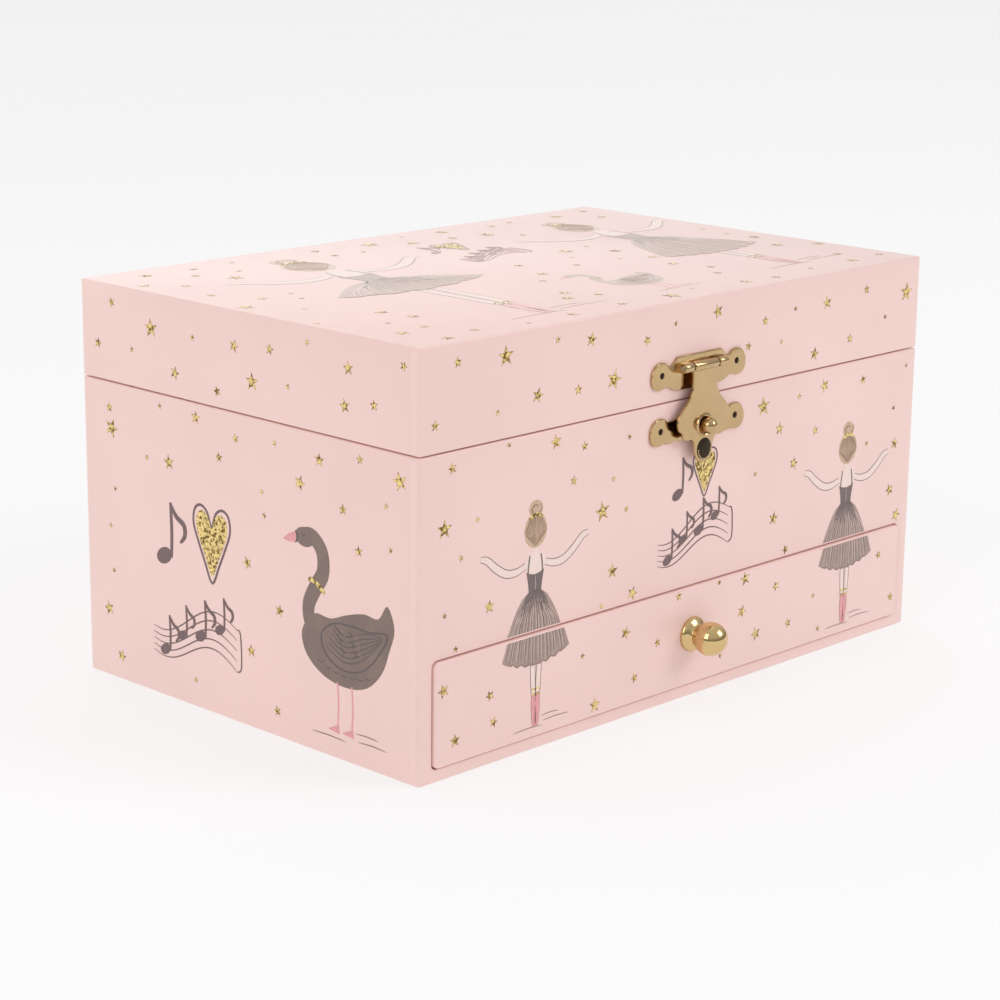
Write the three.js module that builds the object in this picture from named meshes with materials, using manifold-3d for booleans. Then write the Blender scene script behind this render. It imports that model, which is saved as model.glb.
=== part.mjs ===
// Musical jewellery box: a paper-covered board case with a drawer, a hinged lid with a hasp, and a
// clockwork movement behind the drawer that turns a small dancer on a stage in front of the lid mirror.
// Millimetres. +Z up, the front faces -Y, and the origin is the centre of the underside.
import * as THREE from "three";
import { mergeVertices } from "three/addons/utils/BufferGeometryUtils.js";
import Module from "manifold-3d";

const wasm = await Module();
wasm.setup();

// ---- driving dimensions ----------------------------------------------------------------------
const boxWidth = 220;
const boxDepth = 144;
const boxHeight = 121;
const lidHeight = 29.5; // from the top edge of the case walls to the top of the lid
const seamGap = 0.4; // lid rim above the case walls
const sideWall = 5;
const frontWall = 4.5;
const backWall = 4.5;
const basePanel = 3.6;
const lidTop = 4;
const touch = 0.3; // gap left between pieces that rest on each other

const drawerClearance = 0.4;
const drawerOpeningHeight = 31;
const drawerFrontThickness = 4.2;
const drawerProud = 0.8; // the drawer front stands out of the case front by this much
const drawerWall = 2;
const drawerTrayHeight = 25;
const drawerCorner = 1.8;
const movementBayDepth = 33.5; // from the inside of the back panel to the front of the bay's wall
const bayWall = 3;

const shelfThickness = 3;
const dividerThickness = 2;
const dividerDrop = 11.7; // the dividers stop this far below the case's top edge
const stageHeadroom = 1.3; // stage deck's underside above the air brake's sweep
const stageWidth = 68;
const stageDepth = 37.5;
const stageWall = 2;
const deckThickness = 2;
const deckOverhang = 1.6;
const ringRollRadius = 7;
const ringRollCount = 3;
const ringRollPitch = 19;
const ringBaseHeight = 17;

const hardwareX = 2.2; // the hasp and the drawer knob are fitted a little right of the centre
const knobHeight = 19.6;
const knobBallRadius = 5.15;
const knobReach = 12.4;

const plateThickness = 0.8;
const hingeSpacing = 140;
const hingeWidth = 20;
const knuckleRadius = 1.5;
const hingePinRadius = 0.7;
const pinClearance = 0.08;
const leafThickness = 0.9;
const lidOpening = 97; // degrees, where the two stop lips meet

const haspPinRise = 10.1; // hasp pin above the seam
const haspCatchDrop = 7.5; // catch ball below the seam
const haspHoleSpacing = 33.4;
const catchBallRadius = 2.4;
const haspBallClearance = 0.25;
const haspStandOff = 2.4; // case front to the back of the flap

const bedplateThickness = 3;
const barrelRadius = 10.2;
const barrelFloorClearance = 0.95; // toothed rim above the base panel
const arborRadius = 1.6;
const cylinderRadius = 6.5;
const cylinderLength = 18;
const cylinderStandOff = 12.2; // from the bedplate's front to the cylinder's axis
const combTeeth = 18;
const barrelTeeth = 48;
const crownTeeth = 24;
const cylinderGearTeeth = 40;
const idlerPinionTeeth = 8;
const wormWheelTeeth = 20;
const wormStarts = 2;
const barrelPitchRadius = 12;
const cylinderGearMargin = 1.5; // the gear's pitch circle outside the cylinder
const wormWheelPitchRadius = 5;
const wormPitchRadius = 1.25;
const gearCentreClearance = 0.15;
const fanRadius = 5.3;
const stopWireClearance = 0.55;
const dancerHeadroom = 4.4; // between the dancer's hair and the closed lid's mirror
const tutuBackClearance = 2.4; // between the tutu's edge and the back panel
const mirrorThickness = 2;

// ---- levels and planes worked out from them --------------------------------------------------
const halfWidth = boxWidth / 2;
const halfDepth = boxDepth / 2;
const frontFace = -halfDepth;
const backFace = halfDepth;
const innerHalfWidth = halfWidth - sideWall;
const innerFront = frontFace + frontWall;
const innerBack = backFace - backWall;
const seamHeight = boxHeight - lidHeight; // top edge of the case walls
const lidBottom = seamHeight + seamGap;
const hingeAxisHeight = seamHeight + seamGap / 2;
const drawerOpeningTop = basePanel + drawerOpeningHeight;
const shelfBottom = drawerOpeningTop + 0.2;
const shelfTop = shelfBottom + shelfThickness;
const bayBack = innerBack - movementBayDepth;
const stageFront = innerBack - stageDepth;
const lidCeiling = boxHeight - lidTop;
const haspPinHeight = seamHeight + haspPinRise;
const haspCatchHeight = seamHeight - haspCatchDrop;

// The movement stands on the back panel: the barrel low down, then the cylinder with its comb, its
// gear, and the air brake that the gear drives. The stage deck covers them all.
const bedplateFront = innerBack - bedplateThickness;
const barrelRootDepth = 0.5;
const barrelTipHeight = 0.45;
const barrelHeight = basePanel + barrelFloorClearance + barrelPitchRadius + barrelTipHeight;
const crownRadius = (barrelPitchRadius * crownTeeth) / barrelTeeth;
const cylinderY = bedplateFront - cylinderStandOff; // the dancer above the cylinder shares its axis
const greatWheelThickness = 1.2;
const greatWheelY = cylinderY + crownRadius;
const meshHeight = barrelHeight + barrelPitchRadius; // where the barrel's teeth meet the crown wheel's
const crownDisc = meshHeight + 1.6;
const lowerBearing = crownDisc + 1.8;
const bearingThickness = 1.5;
const cylinderBottom = lowerBearing + bearingThickness + 0.4;
const cylinderTop = cylinderBottom + cylinderLength;
const cylinderGearBottom = cylinderTop + 0.4;
const gearThickness = 1.3;
const upperBearing = cylinderGearBottom + gearThickness + 0.5;
const cylinderGearPitchRadius = cylinderRadius + cylinderGearMargin;
const idlerPinionPitchRadius = (cylinderGearPitchRadius * idlerPinionTeeth) / cylinderGearTeeth;
const idlerX = -(cylinderGearPitchRadius + idlerPinionPitchRadius + gearCentreClearance);
const wormWheelMiddle = upperBearing + 0.9;
const wormX = idlerX - wormWheelPitchRadius - wormPitchRadius - gearCentreClearance;
const stageHeight = wormWheelMiddle + fanRadius + stageHeadroom; // underside of the stage deck
const stageTop = stageHeight + deckThickness;
const cylinderArborRadius = 1.2;
const idlerArborRadius = 0.6;
const wheelBoreClearance = 0.04;
const stopRodSite = [wormX - fanRadius - stopWireClearance, bedplateFront - 3];

// ---- solid helpers ---------------------------------------------------------------------------
function solidOf(geometry) {
  const bare = geometry.index ? geometry.toNonIndexed() : geometry.clone();
  bare.deleteAttribute("normal");
  bare.deleteAttribute("uv");
  const merged = mergeVertices(bare, 1e-4);
  return new wasm.Manifold(
    new wasm.Mesh({
      numProp: 3,
      vertProperties: merged.attributes.position.array,
      triVerts: new Uint32Array(merged.index.array),
    }),
  );
}

function geometryOf(solid) {
  const mesh = solid.getMesh();
  const position = new Float32Array(mesh.numVert * 3);
  for (let i = 0; i < mesh.numVert; i++) {
    position.set(mesh.vertProperties.subarray(i * mesh.numProp, i * mesh.numProp + 3), i * 3);
  }
  const geometry = new THREE.BufferGeometry();
  geometry.setAttribute("position", new THREE.BufferAttribute(position, 3));
  geometry.setIndex(new THREE.BufferAttribute(new Uint32Array(mesh.triVerts), 1));
  return geometry;
}

const join = (...parts) => geometryOf(parts.map(solidOf).reduce((a, b) => a.add(b)));
const cut = (part, ...tools) => {
  return geometryOf(tools.map(solidOf).reduce((a, b) => a.subtract(b), solidOf(part)));
};

// A block between two corners.
function block([x0, y0, z0], [x1, y1, z1]) {
  const geometry = new THREE.BoxGeometry(x1 - x0, y1 - y0, z1 - z0);
  return geometry.translate((x0 + x1) / 2, (y0 + y1) / 2, (z0 + z1) / 2);
}

// A round bar along "x", "y" or "z", from one level to another, centred on the other two coordinates.
function bar(axis, radius, from, to, centre, segments = 24, endRadius = radius) {
  const geometry = new THREE.CylinderGeometry(endRadius, radius, to - from, segments);
  geometry.translate(0, (from + to) / 2, 0);
  if (axis === "x") geometry.rotateZ(-Math.PI / 2).translate(0, centre[0], centre[1]);
  if (axis === "y") geometry.translate(centre[0], 0, centre[1]);
  if (axis === "z") geometry.rotateX(Math.PI / 2).translate(centre[0], centre[1], 0);
  return geometry;
}

function shapeOf(points) {
  return new THREE.Shape(points.map(([a, b]) => new THREE.Vector2(a, b)));
}

function extruded(shape, depth, curveSegments = 8) {
  return new THREE.ExtrudeGeometry(shape, { depth, bevelEnabled: false, curveSegments });
}

// An outline in X and Z, extruded from yFront back to yFront + thickness.
function frontPlate(shape, yFront, thickness, curveSegments) {
  const plate = extruded(shape, thickness, curveSegments);
  return plate.rotateX(Math.PI / 2).translate(0, yFront + thickness, 0);
}

// An outline in Y and Z, extruded along X between two levels.
function sideProfile(points, xFrom, xTo) {
  const turn = new THREE.Matrix4().makeBasis(
    new THREE.Vector3(0, 1, 0),
    new THREE.Vector3(0, 0, 1),
    new THREE.Vector3(1, 0, 0),
  );
  return extruded(shapeOf(points), xTo - xFrom).applyMatrix4(turn).translate(xFrom, 0, 0);
}

// A body of revolution about Z, from [radius, height] points that start and end on the axis.
function turned(points, segments = 24) {
  const profile = points.map(([r, z]) => new THREE.Vector2(r, z));
  return new THREE.LatheGeometry(profile, segments).rotateX(Math.PI / 2);
}

function roundedRectangle(x0, z0, x1, z1, radius) {
  const shape = new THREE.Shape();
  shape.moveTo(x0 + radius, z0);
  shape.lineTo(x1 - radius, z0).absarc(x1 - radius, z0 + radius, radius, -Math.PI / 2, 0, false);
  shape.lineTo(x1, z1 - radius).absarc(x1 - radius, z1 - radius, radius, 0, Math.PI / 2, false);
  shape.lineTo(x0 + radius, z1).absarc(x0 + radius, z1 - radius, radius, Math.PI / 2, Math.PI, false);
  shape.lineTo(x0, z0 + radius).absarc(x0 + radius, z0 + radius, radius, Math.PI, 1.5 * Math.PI, false);
  return shape;
}

// A spur gear outline; a share is a tooth's part of the pitch, at the root and at the tip.
function gearShape(teeth, rootRadius, tipRadius, rootShare, tipShare, phase = 0) {
  const points = [];
  for (let i = 0; i < teeth; i++) {
    const centre = phase + (2 * Math.PI * i) / teeth;
    const half = Math.PI / teeth;
    for (const [radius, offset] of [
      [rootRadius, -rootShare],
      [tipRadius, -tipShare],
      [tipRadius, tipShare],
      [rootRadius, rootShare],
    ]) {
      const angle = centre + offset * half;
      points.push([radius * Math.cos(angle), radius * Math.sin(angle)]);
    }
  }
  return shapeOf(points);
}

// A tube along a smooth curve through points.
function tube(points, radius, sides, steps) {
  const path = new THREE.CatmullRomCurve3(points.map((p) => new THREE.Vector3(...p)));
  const around = Array.from({ length: sides }, (_, i) => (2 * Math.PI * i) / sides);
  const section = shapeOf(around.map((angle) => [radius * Math.cos(angle), radius * Math.sin(angle)]));
  return new THREE.ExtrudeGeometry(section, { steps, extrudePath: path });
}

// ---- materials -------------------------------------------------------------------------------
function paint(color, roughness, metalness) {
  return new THREE.MeshStandardMaterial({ color, roughness, metalness });
}
const printedPaper = paint(0xf2cfcb, 0.45, 0);
const liningPaper = paint(0xe9b9bb, 0.85, 0);
const velvet = paint(0xe3a6ad, 0.95, 0);
const goldPlate = paint(0xd8b56a, 0.18, 1);
const brass = paint(0xb9975a, 0.35, 1);
const steel = paint(0xb8b8ba, 0.3, 1);
const mirrorGlass = paint(0xe8eef0, 0.02, 1);
const whitePlastic = paint(0xf0ece6, 0.5, 0);
const dollPlastic = paint(0xf0cdb8, 0.45, 0);
const tulle = paint(0x8d8282, 0.9, 0);

const box = new THREE.Group();
function add(name, geometry, material) {
  const mesh = new THREE.Mesh(geometry, material);
  mesh.name = name;
  box.add(mesh);
  return mesh;
}

// ---- the case --------------------------------------------------------------------------------
const hingeCentres = [-hingeSpacing / 2, hingeSpacing / 2];
const hingeSlot = leafThickness + 0.1; // how deep a leaf is let into a wall's edge

// Pocket for the hinge leaf and knuckle in a back wall's edge; up is +1 for the lid and -1 for the case.
function hingePocket(centre, up) {
  const half = hingeWidth / 2 + 0.2;
  const edge = up > 0 ? lidBottom : seamHeight;
  const levels = (a, b) => [Math.min(a, b), Math.max(a, b)];
  const [leafLow, leafHigh] = levels(edge - up, edge + up * hingeSlot);
  const reach = knuckleRadius + 0.3;
  const [knuckleLow, knuckleHigh] = levels(hingeAxisHeight - up, hingeAxisHeight + up * reach);
  return [
    block([centre - half, innerBack - 1, leafLow], [centre + half, backFace + 1, leafHigh]),
    block([centre - half, backFace - reach, knuckleLow], [centre + half, backFace + 1, knuckleHigh]),
  ];
}

const screwSites = [
  [-18, 10],
  [18, 10],
  [18, 50],
]; // X and height of the three screws that hold the bedplate to the back panel
const screwRadius = 1.4;
const screwHeadRadius = 2.8;

add(
  "base_panel",
  block([-innerHalfWidth, innerFront, 0], [innerHalfWidth, innerBack, basePanel]),
  liningPaper,
);

for (const [name, side] of [["left_side_panel", -1], ["right_side_panel", 1]]) {
  const [x0, x1] = [side * halfWidth, side * innerHalfWidth].sort((a, b) => a - b);
  add(name, block([x0, innerFront, 0], [x1, innerBack, seamHeight]), printedPaper);
}

const frontBoard = block([-halfWidth, frontFace, 0], [halfWidth, innerFront, seamHeight]);
const drawerOpening = frontPlate(
  roundedRectangle(-innerHalfWidth, basePanel, innerHalfWidth, drawerOpeningTop, drawerCorner),
  frontFace - 1,
  frontWall + 2,
);
add("front_panel", cut(frontBoard, drawerOpening), printedPaper);

const backBoard = block([-halfWidth, innerBack, 0], [halfWidth, backFace, seamHeight]);
add(
  "back_panel",
  cut(
    backBoard,
    bar("y", arborRadius + 1.4, innerBack - 1, backFace + 1, [0, barrelHeight]),
    ...screwSites.map(([x, z]) => bar("y", screwRadius + 0.1, innerBack - 1, backFace + 1, [x, z], 16)),
    ...hingeCentres.flatMap((x) => hingePocket(x, -1)),
  ),
  printedPaper,
);

add(
  "drawer_bay_wall",
  block([-innerHalfWidth, bayBack, basePanel], [innerHalfWidth, bayBack + bayWall, shelfBottom]),
  liningPaper,
);

const stageHalf = stageWidth / 2;
const stageInnerHalf = stageHalf - stageWall;
add(
  "drawer_shelf",
  cut(
    block([-innerHalfWidth, innerFront, shelfBottom], [innerHalfWidth, innerBack, shelfTop]),
    block(
      [-stageInnerHalf, bayBack + bayWall, shelfBottom - 1],
      [stageInnerHalf, innerBack + 1, shelfTop + 1],
    ),
  ),
  liningPaper,
);

for (const [name, side] of [["left_divider", -1], ["right_divider", 1]]) {
  const inner = side * (stageHalf + touch + deckOverhang);
  const [x0, x1] = [inner, inner + side * dividerThickness].sort((a, b) => a - b);
  add(name, block([x0, innerFront, shelfTop], [x1, innerBack, seamHeight - dividerDrop]), liningPaper);
}

// ---- the stage over the movement, and the ring cushion in front of it ------------------------
const deckHoleMargin = 1.8; // room round the dancer's shaft where it passes the deck
const stopRodRadius = 0.9;

add(
  "stage_housing",
  cut(
    block([-stageHalf, stageFront, shelfTop], [stageHalf, innerBack, stageHeight]),
    block(
      [-stageInnerHalf, stageFront + stageWall, shelfTop - 1],
      [stageInnerHalf, innerBack + 1, stageHeight + 1],
    ),
  ),
  liningPaper,
);

add(
  "stage_deck",
  cut(
    block(
      [-stageHalf - deckOverhang, stageFront - deckOverhang, stageHeight],
      [stageHalf + deckOverhang, innerBack, stageTop],
    ),
    bar("z", cylinderArborRadius + deckHoleMargin, stageHeight - 1, stageTop + 1, [0, cylinderY]),
    bar("z", stopRodRadius + 0.6, stageHeight - 1, stageTop + 1, stopRodSite, 16),
  ),
  velvet,
);

const cushionHalf = stageHalf + deckOverhang;
const cushionFront = innerFront + touch;
const cushionBack = cushionFront + ringRollCount * ringRollPitch;
add(
  "ring_cushion_base",
  block([-cushionHalf, cushionFront, shelfTop], [cushionHalf, cushionBack, shelfTop + ringBaseHeight]),
  velvet,
);
for (let i = 0; i < ringRollCount; i++) {
  const y = cushionFront + ringRollPitch * (i + 0.5);
  const z = shelfTop + ringBaseHeight + touch + ringRollRadius;
  add(`ring_roll_${i + 1}`, bar("x", ringRollRadius, -cushionHalf, cushionHalf, [y, z]), velvet);
}

// ---- the drawer ------------------------------------------------------------------------------
const drawerHalf = innerHalfWidth - drawerClearance;
const drawerBottom = basePanel + drawerClearance;
const drawerTop = drawerOpeningTop - drawerClearance;
const drawerFace = frontFace - drawerProud;
const drawerFrontBack = drawerFace + drawerFrontThickness;
const trayHalf = drawerHalf - 0.8; // clears the opening's rounded corners
const trayBottom = basePanel + 0.2;
const trayBack = bayBack - 1;
const knobScrewRadius = 1.6;
const knobAxis = [hardwareX, knobHeight];

add(
  "drawer_front",
  cut(
    frontPlate(
      roundedRectangle(-drawerHalf, drawerBottom, drawerHalf, drawerTop, drawerCorner),
      drawerFace,
      drawerFrontThickness,
    ),
    bar("y", knobScrewRadius + 0.2, drawerFace - 1, drawerFrontBack + 1, knobAxis, 16),
  ),
  printedPaper,
);

add(
  "drawer_tray",
  cut(
    block([-trayHalf, drawerFrontBack, trayBottom], [trayHalf, trayBack, trayBottom + drawerTrayHeight]),
    block(
      [-trayHalf + drawerWall, drawerFrontBack - 1, trayBottom + drawerWall],
      [trayHalf - drawerWall, trayBack - drawerWall, trayBottom + drawerTrayHeight + 1],
    ),
  ),
  liningPaper,
);

// Knob: a domed flange on the drawer face, a waist, and a ball; turned about an axis out of the front.
function knobProfile() {
  const ballCentre = knobReach - knobBallRadius;
  const points = [[0, 0], [5.4, 0], [5.4, 0.8], [5.0, 1.5], [4.0, 2.2], [3.1, 2.7]];
  const steps = 9;
  const start = Math.asin(3.1 / knobBallRadius);
  for (let i = 0; i <= steps; i++) {
    const angle = Math.PI - start - ((Math.PI - start) * i) / steps;
    const radius = i === steps ? 0 : knobBallRadius * Math.sin(angle);
    points.push([radius, ballCentre + knobBallRadius * Math.cos(angle)]);
  }
  return points;
}

const knobBody = turned(knobProfile(), 24).rotateX(Math.PI / 2);
knobBody.translate(hardwareX, drawerFace, knobHeight);
const knobScrewEnd = drawerFace - 7;
const screwHeadStart = drawerFrontBack + touch;
add(
  "drawer_knob",
  cut(knobBody, bar("y", knobScrewRadius + 0.1, knobScrewEnd - touch, drawerFace + 1, knobAxis, 16)),
  goldPlate,
);
add(
  "knob_screw",
  join(
    bar("y", knobScrewRadius, knobScrewEnd, screwHeadStart + 0.2, knobAxis, 16),
    bar("y", 3.6, screwHeadStart, screwHeadStart + 1.6, knobAxis, 20, 2.6),
  ),
  steel,
);

// ---- the lid ---------------------------------------------------------------------------------
add(
  "lid_shell",
  cut(
    block([-halfWidth, frontFace, lidBottom], [halfWidth, backFace, boxHeight]),
    block([-innerHalfWidth, innerFront, lidBottom - 1], [innerHalfWidth, innerBack, lidCeiling]),
    ...hingeCentres.flatMap((x) => hingePocket(x, 1)),
  ),
  printedPaper,
);

const mirrorHalfWidth = 72;
const mirrorHalfDepth = 46;
add(
  "lid_mirror",
  block(
    [-mirrorHalfWidth, -mirrorHalfDepth, lidCeiling - mirrorThickness],
    [mirrorHalfWidth, mirrorHalfDepth, lidCeiling],
  ),
  mirrorGlass,
);

const pressBlockBottom = lidBottom + 0.6;
add(
  "stop_press_block",
  block(
    [stopRodSite[0] - 4, innerBack - 7, pressBlockBottom],
    [stopRodSite[0] + 4, innerBack, pressBlockBottom + 7],
  ),
  liningPaper,
);

// ---- the two lid hinges ----------------------------------------------------------------------
// Each leaf lies in its wall's edge, carries its own knuckles, and has a lip behind them. The lips
// slope away from each other, and meet when the lid has turned through lidOpening.
function hingeLeaf(centre, up) {
  const half = hingeWidth / 2;
  const edge = up > 0 ? lidBottom : seamHeight;
  const nearSide = edge + up * 0.05;
  const farSide = edge + up * (0.05 + leafThickness);
  const plate = block(
    [centre - half, innerBack + 0.4, Math.min(nearSide, farSide)],
    [centre + half, backFace - 0.6, Math.max(nearSide, farSide)],
  );
  const middle = 3.7;
  const spans = up > 0 ? [[-middle, middle]] : [[-half, -middle - 0.3], [middle + 0.3, half]];
  const others = up > 0 ? [[-half - 1, -middle], [middle, half + 1]] : [[-middle - 0.3, middle + 0.3]];
  const axis = [backFace, hingeAxisHeight];
  const knuckles = spans.map(([a, b]) => bar("x", knuckleRadius, centre + a, centre + b, axis, 20));
  const slope = THREE.MathUtils.degToRad(lidOpening / 2 + 1.5);
  const [inner, outer] = [knuckleRadius + 0.35, knuckleRadius + 1.7];
  const polar = (radius, angle) => [
    backFace + radius * Math.cos(angle),
    hingeAxisHeight + up * radius * Math.sin(angle),
  ];
  const lipSpan = 0.6;
  const lipPoints = [
    polar(inner, slope),
    polar(outer, slope),
    polar(outer, slope + lipSpan),
    polar(inner, slope + lipSpan),
  ];
  const ordered = (points) => (up > 0 ? points : [...points].reverse());
  const lip = sideProfile(ordered(lipPoints), centre - half, centre + half);
  const webPoints = [
    polar(knuckleRadius - 0.5, slope + 0.1),
    polar(inner + 0.4, slope + 0.1),
    polar(inner + 0.4, slope + 0.5),
    polar(knuckleRadius - 0.5, slope + 0.5),
  ];
  const webs = spans.map(([a, b]) => sideProfile(ordered(webPoints), centre + a, centre + b));
  const clear = others.map(([a, b]) => bar("x", knuckleRadius + 0.3, centre + a, centre + b, axis, 16));
  const bore = bar("x", hingePinRadius + pinClearance, centre - hingeWidth, centre + hingeWidth, axis, 12);
  return cut(join(plate, lip, ...knuckles, ...webs), ...clear, bore);
}

const hingePinHalf = hingeWidth / 2 + 0.1;
hingeCentres.forEach((x, i) => {
  const side = i === 0 ? "left" : "right";
  add(`${side}_hinge_case_leaf`, hingeLeaf(x, -1), goldPlate);
  add(`${side}_hinge_lid_leaf`, hingeLeaf(x, 1), goldPlate);
  add(
    `${side}_hinge_pin`,
    bar("x", hingePinRadius, x - hingePinHalf, x + hingePinHalf, [backFace, hingeAxisHeight], 12),
    steel,
  );
});

// ---- the hasp --------------------------------------------------------------------------------
// A plate outline with a scalloped ear at each end; z0 and z1 are the middle block's edges.
function earedPlate(z0, z1, middleHalf, earHeight) {
  const earX = haspHoleSpacing / 2;
  const earZ = earHeight;
  const shape = new THREE.Shape();
  const halves = [
    [middleHalf, z0 + 0.6],
    [middleHalf + 1.4, z0 + 1.7],
    [earX - 2.2, z0 + 1.2],
    [earX + 0.6, earZ - 4.3],
    [earX + 3.4, earZ - 3.1],
    [earX + 4.2, earZ],
    [earX + 3.6, earZ + 2.8],
    [earX + 0.6, earZ + 3.9],
    [earX - 1.8, earZ + 3.2],
    [earX - 3.0, earZ + 2.0],
    [middleHalf + 1.2, z1 - 2.2],
    [middleHalf, z1],
  ];
  shape.moveTo(-middleHalf + 2, z0);
  shape.lineTo(middleHalf - 2, z0);
  halves.forEach(([x, z]) => shape.lineTo(x, z));
  [...halves].reverse().forEach(([x, z]) => shape.lineTo(-x, z));
  return shape;
}

const haspPlateFront = frontFace - plateThickness;
const haspPinY = frontFace - haspStandOff - plateThickness / 2 + 0.2;
const haspRollRadius = 1.5;
const haspPinRadius = 0.7;
const haspPinAxis = [haspPinY, haspPinHeight];
const haspFlapBack = frontFace - haspStandOff;
const haspFlapFront = haspFlapBack - plateThickness;
const nailHole = (x, z, y) => bar("y", 0.7, y - 2, y + 2, [x, z], 12);
const earHole = haspHoleSpacing / 2;
const haspEarHeight = haspPinHeight - 1.4;

const lugs = [[-9.6, -5.8], [5.8, 9.6]].map(([a, b]) =>
  join(
    bar("x", haspRollRadius, a, b, haspPinAxis, 20),
    block(
      [a, haspPinY, haspPinHeight - haspRollRadius],
      [b, frontFace - 0.1, haspPinHeight + haspRollRadius],
    ),
  ),
);
const haspBore = bar("x", haspPinRadius + pinClearance, -20, 20, haspPinAxis, 16);
const lidPlateShape = earedPlate(seamHeight + 3.4, seamHeight + 13.3, 10.5, haspEarHeight);
add(
  "hasp_lid_plate",
  cut(
    join(frontPlate(lidPlateShape, haspPlateFront, plateThickness), ...lugs),
    haspBore,
    ...[-earHole, earHole].map((x) => nailHole(x, haspEarHeight, frontFace)),
  ).translate(hardwareX, 0, 0),
  goldPlate,
);
add("hasp_pin", bar("x", haspPinRadius, -9.9, 9.9, haspPinAxis, 16).translate(hardwareX, 0, 0), steel);

// Bell-shaped flap: a neck under its roll, a belly round the catch hole, and a thumb lip.
function flapShape() {
  const z = haspCatchHeight;
  const shape = new THREE.Shape();
  shape.moveTo(-5.2, haspPinHeight);
  shape.lineTo(-5.2, z + 13);
  shape.bezierCurveTo(-5.4, z + 9, -8, z + 7, -10.4, z + 4.4);
  shape.bezierCurveTo(-12.6, z + 1.8, -11.8, z - 0.8, -9.4, z - 1.6);
  shape.bezierCurveTo(-8.6, z - 3.8, -6.2, z - 4.2, -3.9, z - 4.8);
  shape.lineTo(-3.7, z - 7.4);
  shape.absarc(0, z - 7.4, 3.7, Math.PI, 2 * Math.PI, false);
  shape.lineTo(3.9, z - 4.8);
  shape.bezierCurveTo(6.2, z - 4.2, 8.6, z - 3.8, 9.4, z - 1.6);
  shape.bezierCurveTo(11.8, z - 0.8, 12.6, z + 1.8, 10.4, z + 4.4);
  shape.bezierCurveTo(8, z + 7, 5.4, z + 9, 5.2, z + 13);
  shape.lineTo(5.2, haspPinHeight);
  return shape;
}

const catchHoleRadius = catchBallRadius + haspBallClearance;
add(
  "hasp_flap",
  cut(
    join(
      frontPlate(flapShape(), haspFlapFront, plateThickness, 6),
      bar("x", haspRollRadius, -5.2, 5.2, haspPinAxis, 20),
    ),
    haspBore,
    bar("y", catchHoleRadius, haspFlapFront - 2, haspFlapBack + 2, [0, haspCatchHeight], 24),
  ).translate(hardwareX, 0, 0),
  goldPlate,
);

// The case plate carries the catch: a stem and a ball that the flap's hole passes over.
function catchProfile() {
  const ballCentre = 5;
  const points = [[0, 0.2], [1.2, 0.2], [1.2, 3]];
  const steps = 8;
  const start = Math.asin(1.2 / catchBallRadius);
  for (let i = 0; i <= steps; i++) {
    const angle = Math.PI - start - ((Math.PI - start) * i) / steps;
    const radius = i === steps ? 0 : catchBallRadius * Math.sin(angle);
    points.push([radius, ballCentre + catchBallRadius * Math.cos(angle)]);
  }
  return points;
}

const casePlateShape = earedPlate(haspCatchHeight - 4.2, haspCatchHeight + 3.8, 9, haspCatchHeight);
add(
  "hasp_case_plate",
  cut(
    join(
      frontPlate(casePlateShape, haspPlateFront, plateThickness),
      turned(catchProfile(), 16).rotateX(Math.PI / 2).translate(0, frontFace, haspCatchHeight),
    ),
    ...[-earHole, earHole].map((x) => nailHole(x, haspCatchHeight, frontFace)),
  ).translate(hardwareX, 0, 0),
  goldPlate,
);

// ---- the movement: frame ---------------------------------------------------------------------
screwSites.forEach(([x, z], i) =>
  add(
    `movement_screw_${i + 1}`,
    cut(
      join(
        bar("y", screwRadius, bedplateFront + 0.3, backFace + 0.5, [x, z], 16),
        bar("y", screwHeadRadius, backFace + 0.1, backFace + 1.5, [x, z], 20, screwHeadRadius - 0.6),
      ),
      block([x - 4, backFace + 0.9, z - 0.35], [x + 4, backFace + 3, z + 0.35]),
    ),
    steel,
  ),
);

const bearingPlate = (z) =>
  cut(
    block([-4, cylinderY - 3, z], [4, bedplateFront, z + bearingThickness]),
    bar("z", cylinderArborRadius + pinClearance, z - 1, z + bearingThickness + 1, [0, cylinderY], 16),
  );
add("cylinder_lower_bearing", bearingPlate(lowerBearing), brass);
add("cylinder_upper_bearing", bearingPlate(upperBearing), brass);

// Comb: a steel plate cut into tuned teeth whose tips reach the cylinder, screwed to its block.
const combTip = cylinderRadius + 0.75;
const combHeel = 25;
const combRoot = 18;
const combThickness = 1;
const combSlot = 0.28;
const combTaper = 0.18; // each higher-pitched tooth is this much shorter
const combPitch = (cylinderLength - 1) / combTeeth;
const combBottom = cylinderBottom + 0.5;
const combScrews = [combBottom + 3.5, combBottom + cylinderLength - 4.5];
const combScrewX = (combRoot + combHeel) / 2 + 0.3;
const combScrewHole = 1.2;
const combFront = cylinderY - combThickness / 2;
const combBack = cylinderY + combThickness / 2;
const combSlots = [];
for (let i = 1; i < combTeeth; i++) {
  const z = combBottom + i * combPitch;
  const slotEnd = combRoot - combTaper * i;
  combSlots.push(
    block([combTip - 1, cylinderY - 2, z - combSlot / 2], [slotEnd, cylinderY + 2, z + combSlot / 2]),
  );
}
add(
  "music_comb",
  cut(
    block(
      [combTip, combFront, combBottom],
      [combHeel, combBack, combBottom + combTeeth * combPitch],
    ),
    ...combSlots,
    ...combScrews.map((z) => bar("y", combScrewHole, combFront - 1, combBack + 1, [combScrewX, z], 16)),
  ),
  steel,
);
const bedplateShape = roundedRectangle(
  wormX - 7.85,
  basePanel + 1,
  combHeel + 1,
  upperBearing + bearingThickness + 2,
  4,
);
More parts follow.
